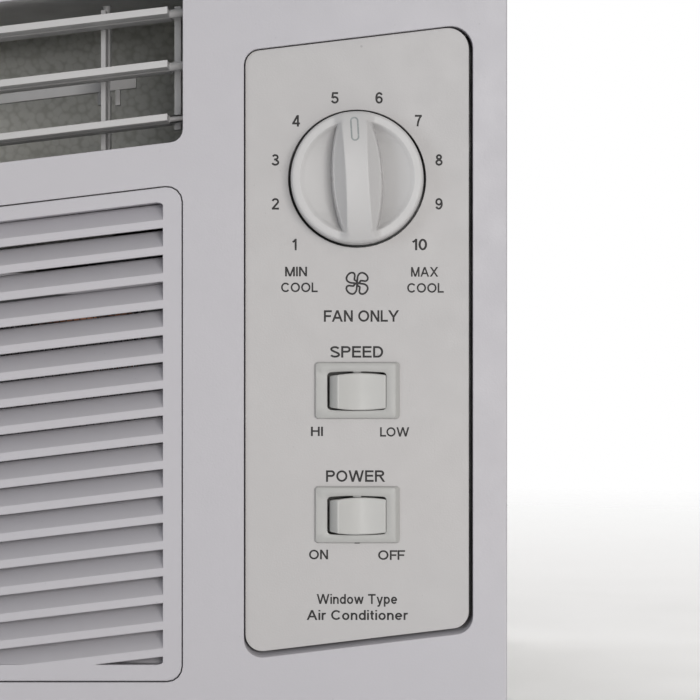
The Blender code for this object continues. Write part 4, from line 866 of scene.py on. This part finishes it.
def build_switch(label, notch):
    """A switch body with its sloped bezel and terminals, and its rocker leaning one way."""
    node = label + "_switch_body"
    low, high = box_mm(node)
    x0, x1, z0, z1 = low[0], high[0], low[2], high[2]
    front = low[1]
    mx, mz = (x0 + x1) / 2, (z0 + z1) / 2
    left, right, below, above, bow = WINDOW
    back = front + SWITCH_DEPTH

    def opening(y, grow, flare=0.0):
        return frame_loop(mx - left - grow - flare, mx + right + grow + flare,
                          mz - below - grow, mz + above + grow, WINDOW_CORNER + grow, y, bow)
    hw, hh = SWITCH_HALF
    loops = [
        frame_loop(mx - hw, mx + hw, mz - hh, mz + hh, 0.6, back),
        frame_loop(mx - hw, mx + hw, mz - hh, mz + hh, 0.6, PANEL_Y + 0.05),
        frame_loop(x0 + 0.05, x1 - 0.05, z0 + 0.05, z1 - 0.05, 1.3, PANEL_Y - 0.05),
        frame_loop(x0, x1, z0, z1, 1.3, PANEL_Y - 0.2),
        frame_loop(x0 + 0.06, x1 - 0.12, z0 + 0.06, z1 - 0.06, 1.3, PANEL_Y - 0.35),
        frame_loop(x0 + 0.5, x1 - 1.4, z0 + 0.42, z1 - 0.42, 1.1, front + 0.14),
        frame_loop(x0 + 0.72, x1 - 1.7, z0 + 0.66, z1 - 0.66, 1.0, front),
        opening(front, 0.22), opening(front + 0.06, 0.08), opening(front + 0.25, 0.0),
        opening(front + 0.4, 0.0), opening(front + 1.0, 0.0, FLARE),
        opening(front + 15.0, 0.0, FLARE),
    ]
    solids = [loft(loops)]
    lug = frame_loop(mx - 1.55, mx + 1.55, mz + above + 0.12, mz + above + 0.7, 0.15, 0.0)
    solids.append(loft([[(p[0], front + 0.5, p[2]) for p in lug],
                        [(p[0], front + 5.0, p[2]) for p in lug]]))
    for i in (-1, 0, 1):
        solids.append(block(mx + 8 * i - 0.4, mx + 8 * i + 0.4, back - 1, back + 8,
                            mz - 3.15, mz + 3.15))
    piece_from(label + "_switch_frame", solids, "root", BEZEL, (node,))
    if notch:
        # the latch notch is not cut into the bezel; a black chip sits in its place for the shade
        # inside it: painted shade
        chip = [(-1.0, -0.05), (-0.75, 0.45), (0.1, 0.62), (0.8, 0.5), (1.05, -0.05)]
        solid = loft([[(mx + a, PANEL_Y - 0.45, z0 + b) for a, b in chip],
                      [(mx + a, PANEL_Y - 0.95 - 0.5 * b, z0 + b + 0.02) for a, b in chip]])
        piece_from(label + "_latch_notch", [solid], "root", RUBBER)

    rocker = label + "_rocker"
    pivot_y = front + PIVOT_DEPTH
    pivot_z = sum(c[2] for c in box_mm(rocker)) / 2 - PIVOT_DROP
    corner, corner_w = 9.118, 9.17  # the face's ends, across and out from the pin
    middle_w = PIVOT_DEPTH / math.cos(ROCK)
    outline = []
    for i in range(25):
        u = -corner + 2 * corner * i / 24
        outline.append((u, middle_w + (corner_w - middle_w) * abs(u / corner) ** 1.5))
    outline += [(11.2, 5.2), (11.3, 3.0), (9.5, -1.0), (0.0, -4.0), (-9.5, -1.0), (-11.3, 3.0),
                (-11.2, 5.2)]
    c, s = math.cos(ROCK), math.sin(ROCK)
    sections = []
    for share in (-1.0, -0.5, 0.0, 0.5, 1.0):
        section = []
        for u, w in outline:
            half = 5.86 + 1.09 * (1 - (u / 11.3) ** 2)
            section.append((mx + u * c + w * s, pivot_y - (w * c - u * s), pivot_z + share * half))
        sections.append(section)
    pin = turned([(PIN_R, -PIN_HALF), (PIN_R, PIN_HALF)], (mx, pivot_y, pivot_z + PIVOT_DROP),
                 "Z", 24)
    shape = piece_from(label + "_rocker_cap", [loft(sections)], rocker, SWITCH,
                       (rocker,), 32.0)
    rounded(shape, 0.5, 4, 30.0)
    piece_from(label + "_rocker_pin", [pin], rocker, SWITCH)


build_switch("speed", False)
build_switch("power", True)


# ---------------------------------------------------------------- finned coils
BEND = 16.1  # room for the return bends at each end
TUBE_R = 4.5
FIN_HALF = 0.11
PLATE = 1.2


def build_coil(node, rows, spacing):
    """A stack of thin fins between end plates, with tubes through them and bends at the ends."""
    low, high = box_mm(node)
    y0, y1, z0, z1 = low[1], high[1], low[2], high[2]
    x0, x1 = low[0] + BEND, high[0] - BEND
    stack = []
    count = int((x1 - x0 - 6.0) / spacing)
    for i in range(count + 1):
        x = x0 + 3.0 + (x1 - x0 - 6.0) * i / count
        wave = 0.10 * math.sin(i * 1.7) + 0.06 * math.sin(i * 0.61)
        points, faces = block(x - FIN_HALF, x + FIN_HALF, y0 + 0.6, y1 - 0.6, z0 + 0.8, z1 - 0.8)
        points = [(p[0] + (wave if p[2] > z0 + 5 else -wave), p[1], p[2]) for p in points]
        stack.append((points, faces))
    piece_from(node + "_fins", stack, "root", FINS, (node,))
    plates = []
    outline = frame_loop(y0, y1, z0, z1, 1.0, 0.0)
    for x in (x0, x1 - PLATE):
        plates.append(loft([[(x, p[0], p[2]) for p in outline],
                            [(x + PLATE, p[0], p[2]) for p in outline]]))
    piece_from(node + "_end_plates", plates, "root", GALVANISED)
    tubes = []
    pitch = (z1 - z0) / (2 * rows)
    depth = (y0 + y1) / 2
    for i in range(2 * rows):
        z = z0 + pitch * (i + 0.5)
        tubes.append(pipe([(x0 - 2.0, depth, z), (x1 + 2.0, depth, z)], TUBE_R - 0.3, 16))
    for i in range(rows):
        for end, way in ((x0, -1), (x1, 1)):
            start = z0 + pitch * (2 * i + (0.5 if way > 0 else 1.5))
            if start + pitch > z1 - 5:
                continue
            path = [(end - way * 1.0, depth, start)]
            for k in range(17):
                a = math.pi * k / 16
                path.append((end + way * (3.0 + pitch / 2 * math.sin(a)), depth,
                             start + pitch / 2 - pitch / 2 * math.cos(a)))
            path.append((end - way * 1.0, depth, start + pitch))
            squeeze = min(1.0, BEND / (abs(path[9][0] - end) + TUBE_R))
            tubes.append(pipe([(end + (p[0] - end) * squeeze, p[1], p[2]) for p in path],
                              TUBE_R, 16))
            for z in (start, start + pitch):
                tubes.append(pipe([(end + way * 0.2, depth, z), (end + way * 1.8, depth, z)],
                                  TUBE_R + 0.5, 16))
    piece_from(node + "_tubes", tubes, "root", COPPER, (), 40.0)


build_coil("condenser_coil", 5, 2.1)
build_coil("evaporator_coil", 5, 1.9)


# ---------------------------------------------------------------- woven filter net
NET_PITCH = 2.6
THREAD_R = 0.19
WEAVE = 0.2  # how far a thread weaves to and fro


def build_net():
    """Threads both ways over and under each other."""
    low, high = box_mm("filter_net")
    middle = (low[1] + high[1]) / 2
    nx = int((high[0] - low[0]) / NET_PITCH)
    nz = int((high[2] - low[2]) / NET_PITCH)
    strands = []

    def strand(start, end, count, phase):
        """Places along a strand and how far it weaves to and fro there."""
        return [(start + (end - start) * k / (2 * count),
                 middle + WEAVE * math.sin(math.pi * (k / 2 + phase)))
                for k in range(2 * count + 1)]
    for i in range(nx):
        x = low[0] + (high[0] - low[0]) * (i + 0.5) / nx
        path = [(x, y, z) for z, y in strand(low[2], high[2], nz, i + 0.5)]
        strands.append(pipe(path, THREAD_R, 4))
    for i in range(nz):
        z = low[2] + (high[2] - low[2]) * (i + 0.5) / nz
        path = [(x, y, z) for x, y in strand(low[0], high[0], nx, i + 1.5)]
        strands.append(pipe(path, THREAD_R, 4))
    piece_from("filter_mesh", strands, "filter", NET, ("filter_net",), 60.0)


build_net()


# ---------------------------------------------------------------- screws
HEAD = 1.7  # height of a head over its seat


def build_screw(node, axis, sign):
    """Hex washer head with a cross recess."""
    low, high = box_mm(node)
    middle = (low + high) / 2
    a = "XYZ".index(axis)
    seat = (high[a] - HEAD) if sign > 0 else (low[a] + HEAD)
    others = [i for i in range(3) if i != a]

    def circle(radius, height, kind="round"):
        loop = []
        for k in range(48):
            t = 2 * math.pi * k / 48
            r = radius
            if kind == "hex":
                r = radius * math.cos(math.pi / 6) / math.cos((t % (math.pi / 3)) - math.pi / 6)
            elif kind == "cross":
                arm = 0.55
                c, s = abs(math.cos(t)), abs(math.sin(t))
                reach = min(radius / max(c, s), arm / max(min(c, s), 1e-3))
                r = min(reach, radius)
            p = [0.0, 0.0, 0.0]
            p[a] = seat + sign * height
            p[others[0]] = middle[others[0]] + r * math.cos(t)
            p[others[1]] = middle[others[1]] + r * math.sin(t)
            loop.append(tuple(p))
        return loop
    loops = [circle(0.6, -7.0), circle(2.0, -5.8), circle(2.0, 0.0),
             circle(4.1, 0.05), circle(4.15, 0.35), circle(3.6, 0.6),
             circle(3.35, 0.65, "hex"), circle(3.35, 1.3, "hex"), circle(3.0, 1.62, "hex"),
             circle(2.2, 1.68), circle(1.9, 1.66, "cross"), circle(1.4, 0.6, "cross"),
             circle(0.5, 0.3, "cross")]
    piece_from(node + "_head", [loft(loops)], "root", ZINC, (node,), 30.0)


for number in (1, 2):
    build_screw("rail_screw_%d" % number, "Z", 1)
for number in (1, 2, 3, 4):
    build_screw("side_screw_%d" % number, "X", -1 if number < 3 else 1)


# ---------------------------------------------------------------- the other nodes, as in CAD
PLAIN = {  # many holes or many facets: joined, edges left as they are
    "front_fascia", "control_panel", "intake_grille", "cabinet_wrap", "top_rail", "base_pan",
    "blower_wheel", "condenser_fan", "discharge_hood", "compressor", "fan_motor", "bulkhead",
    "thermostat_line", "capillary_tube", "discharge_pipe", "suction_pipe", "accumulator",
    "blower_scroll", "scroll_front", "condenser_shroud", "control_box", "motor_bracket",
    "drip_tray", "filter_guide_lower", "filter_guide_upper", "capacitor_strap", "louver_link",
    "vane_link", "cord_gland",
}
for node, thing in nodes.items():
    if not thing.hide_render:
        refined(node, 0.0 if node in PLAIN else 0.3)


# ---------------------------------------------------------------- floor, light and camera
FLOOR_RADIUS_METRES = 1.7
FLOOR_GAP_METRES = 0.0005  # the floor lies this far under the object
FLOOR_FADE_METRES = (0.5, 1.6)  # and fades into the backdrop over this distance
bpy.ops.mesh.primitive_circle_add(vertices=96, radius=FLOOR_RADIUS_METRES, fill_type="NGON",
                                  location=(0, 0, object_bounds()[0].z - FLOOR_GAP_METRES))
floor = bpy.context.object
floor.name = "floor"
ground = Shader("floor", (0.92, 0.92, 0.92), 0.6)
ground.tint((0.88, 0.88, 0.88), ground.span(ground.noise(3.0, 3.0), 0.4, 0.7), 0.5)
ground.rough(ground.noise(20.0), 0.5, 0.7)
floor_material = ground.done()
length = ground.add("VectorMath")
length.operation = "LENGTH"
ground.tree.links.new(ground.place, length.inputs[0])
clear = ground.add("BsdfTransparent")
fade = ground.add("MixShader", Fac=ground.span(length.outputs["Value"], *FLOOR_FADE_METRES))
ground.tree.links.new(ground.bsdf.outputs["BSDF"], fade.inputs[1])
ground.tree.links.new(clear.outputs["BSDF"], fade.inputs[2])
ground.tree.links.new(fade.outputs["Shader"],
                      ground.tree.nodes["Material Output"].inputs["Surface"])
floor.data.materials.append(floor_material)


ROOM_LIGHT = 0.43  # light from all round
SIDE_SHADE = 0.34  # how much less of it comes from the two sides
SKY_LIGHT = 0.06  # and how much more from above
RIGHT_LIGHT = 0.06  # the right is this much brighter than the left


def studio_world():
    """White backdrop; the object's light comes from front and above, less from the sides."""
    world = bpy.data.worlds.new("studio")
    scene.world = world
    world.use_nodes = True
    tree = world.node_tree
    backdrop = tree.nodes["Background"]
    backdrop.inputs["Color"].default_value = (1.0, 1.0, 1.0, 1.0)
    backdrop.inputs["Strength"].default_value = 1.0
    room = tree.nodes.new("ShaderNodeBackground")
    place = tree.nodes.new("ShaderNodeTexCoord").outputs["Generated"]
    parts = tree.nodes.new("ShaderNodeSeparateXYZ")
    tree.links.new(place, parts.inputs["Vector"])

    def math_node(operation, a, b):
        node = tree.nodes.new("ShaderNodeMath")
        node.operation = operation
        for socket, value in zip(node.inputs, (a, b)):
            if isinstance(value, float):
                socket.default_value = value
            else:
                tree.links.new(value, socket)
        return node.outputs["Value"]
    side = math_node("MULTIPLY", parts.outputs["X"], parts.outputs["X"])
    up = math_node("MAXIMUM", parts.outputs["Z"], 0.0)
    strength = math_node("ADD", math_node("MULTIPLY", side, -SIDE_SHADE), ROOM_LIGHT)
    strength = math_node("ADD", strength, math_node("MULTIPLY", up, SKY_LIGHT))
    strength = math_node("ADD", strength, math_node("MULTIPLY", parts.outputs["X"], RIGHT_LIGHT))
    tree.links.new(strength, room.inputs["Strength"])
    room.inputs["Color"].default_value = (1.0, 0.99, 0.985, 1.0)
    mix = tree.nodes.new("ShaderNodeMixShader")
    ray = tree.nodes.new("ShaderNodeLightPath")
    tree.links.new(ray.outputs["Is Camera Ray"], mix.inputs["Fac"])
    tree.links.new(room.outputs["Background"], mix.inputs[1])
    tree.links.new(backdrop.outputs["Background"], mix.inputs[2])
    tree.links.new(mix.outputs["Shader"], tree.nodes["World Output"].inputs["Surface"])


def softbox(name, place, aim, size, energy, colour):
    """A soft rectangular light; places and sizes in metres, energy in watts."""
    light = bpy.data.lights.new(name, "AREA")
    light.shape = "RECTANGLE"
    light.size, light.size_y = size
    light.energy = energy
    light.color = colour
    thing = bpy.data.objects.new(name, light)
    scene.collection.objects.link(thing)
    thing.location = place
    thing.rotation_euler = (Vector(aim) - Vector(place)).to_track_quat("-Z", "Y").to_euler()


studio_world()
softbox("front_softbox", (0.95, -2.6, 0.42), (0.15, 0, 0.12), (1.3, 0.8), 29.5, (1.0, 0.985, 0.965))
softbox("window_softbox", (-1.7, -1.8, 0.42), (0.1, 0, 0.12), (0.9, 0.8), 8.0, (0.86, 0.93, 1.0))
softbox("back_softbox", (0.8, 2.0, 1.4), (0, 0, 0.15), (1.5, 1.2), 14.0, (1.0, 0.99, 0.97))
softbox("top_softbox", (-0.1, 0.7, 1.7), (0, 0.2, 0.3), (1.0, 0.8), 9.0, (1.0, 0.99, 0.98))

DISTANCE_METRES = 0.9  # from the camera to the panel
VIEW_WIDTH_METRES = 0.2615  # of the panel's plane across the picture
VIEW_LEFT = 2.65  # the picture's middle is left of the panel's
VIEW_DOWN = 3.9  # and below it
SENSOR = 36.0
camera_data = bpy.data.cameras.new("camera")
camera = bpy.data.objects.new("camera", camera_data)
scene.collection.objects.link(camera)
camera.location = ((PANEL_X - VIEW_LEFT) * MM, PANEL_Y * MM - DISTANCE_METRES,
                   (PANEL_Z - VIEW_DOWN) * MM)
camera.rotation_euler = (math.pi / 2, 0, 0)
camera_data.sensor_width = SENSOR
camera_data.lens = SENSOR * DISTANCE_METRES / VIEW_WIDTH_METRES
camera_data.clip_start = 0.05
camera_data.clip_end = 50.0
scene.camera = camera
scene.view_settings.view_transform = "Standard"
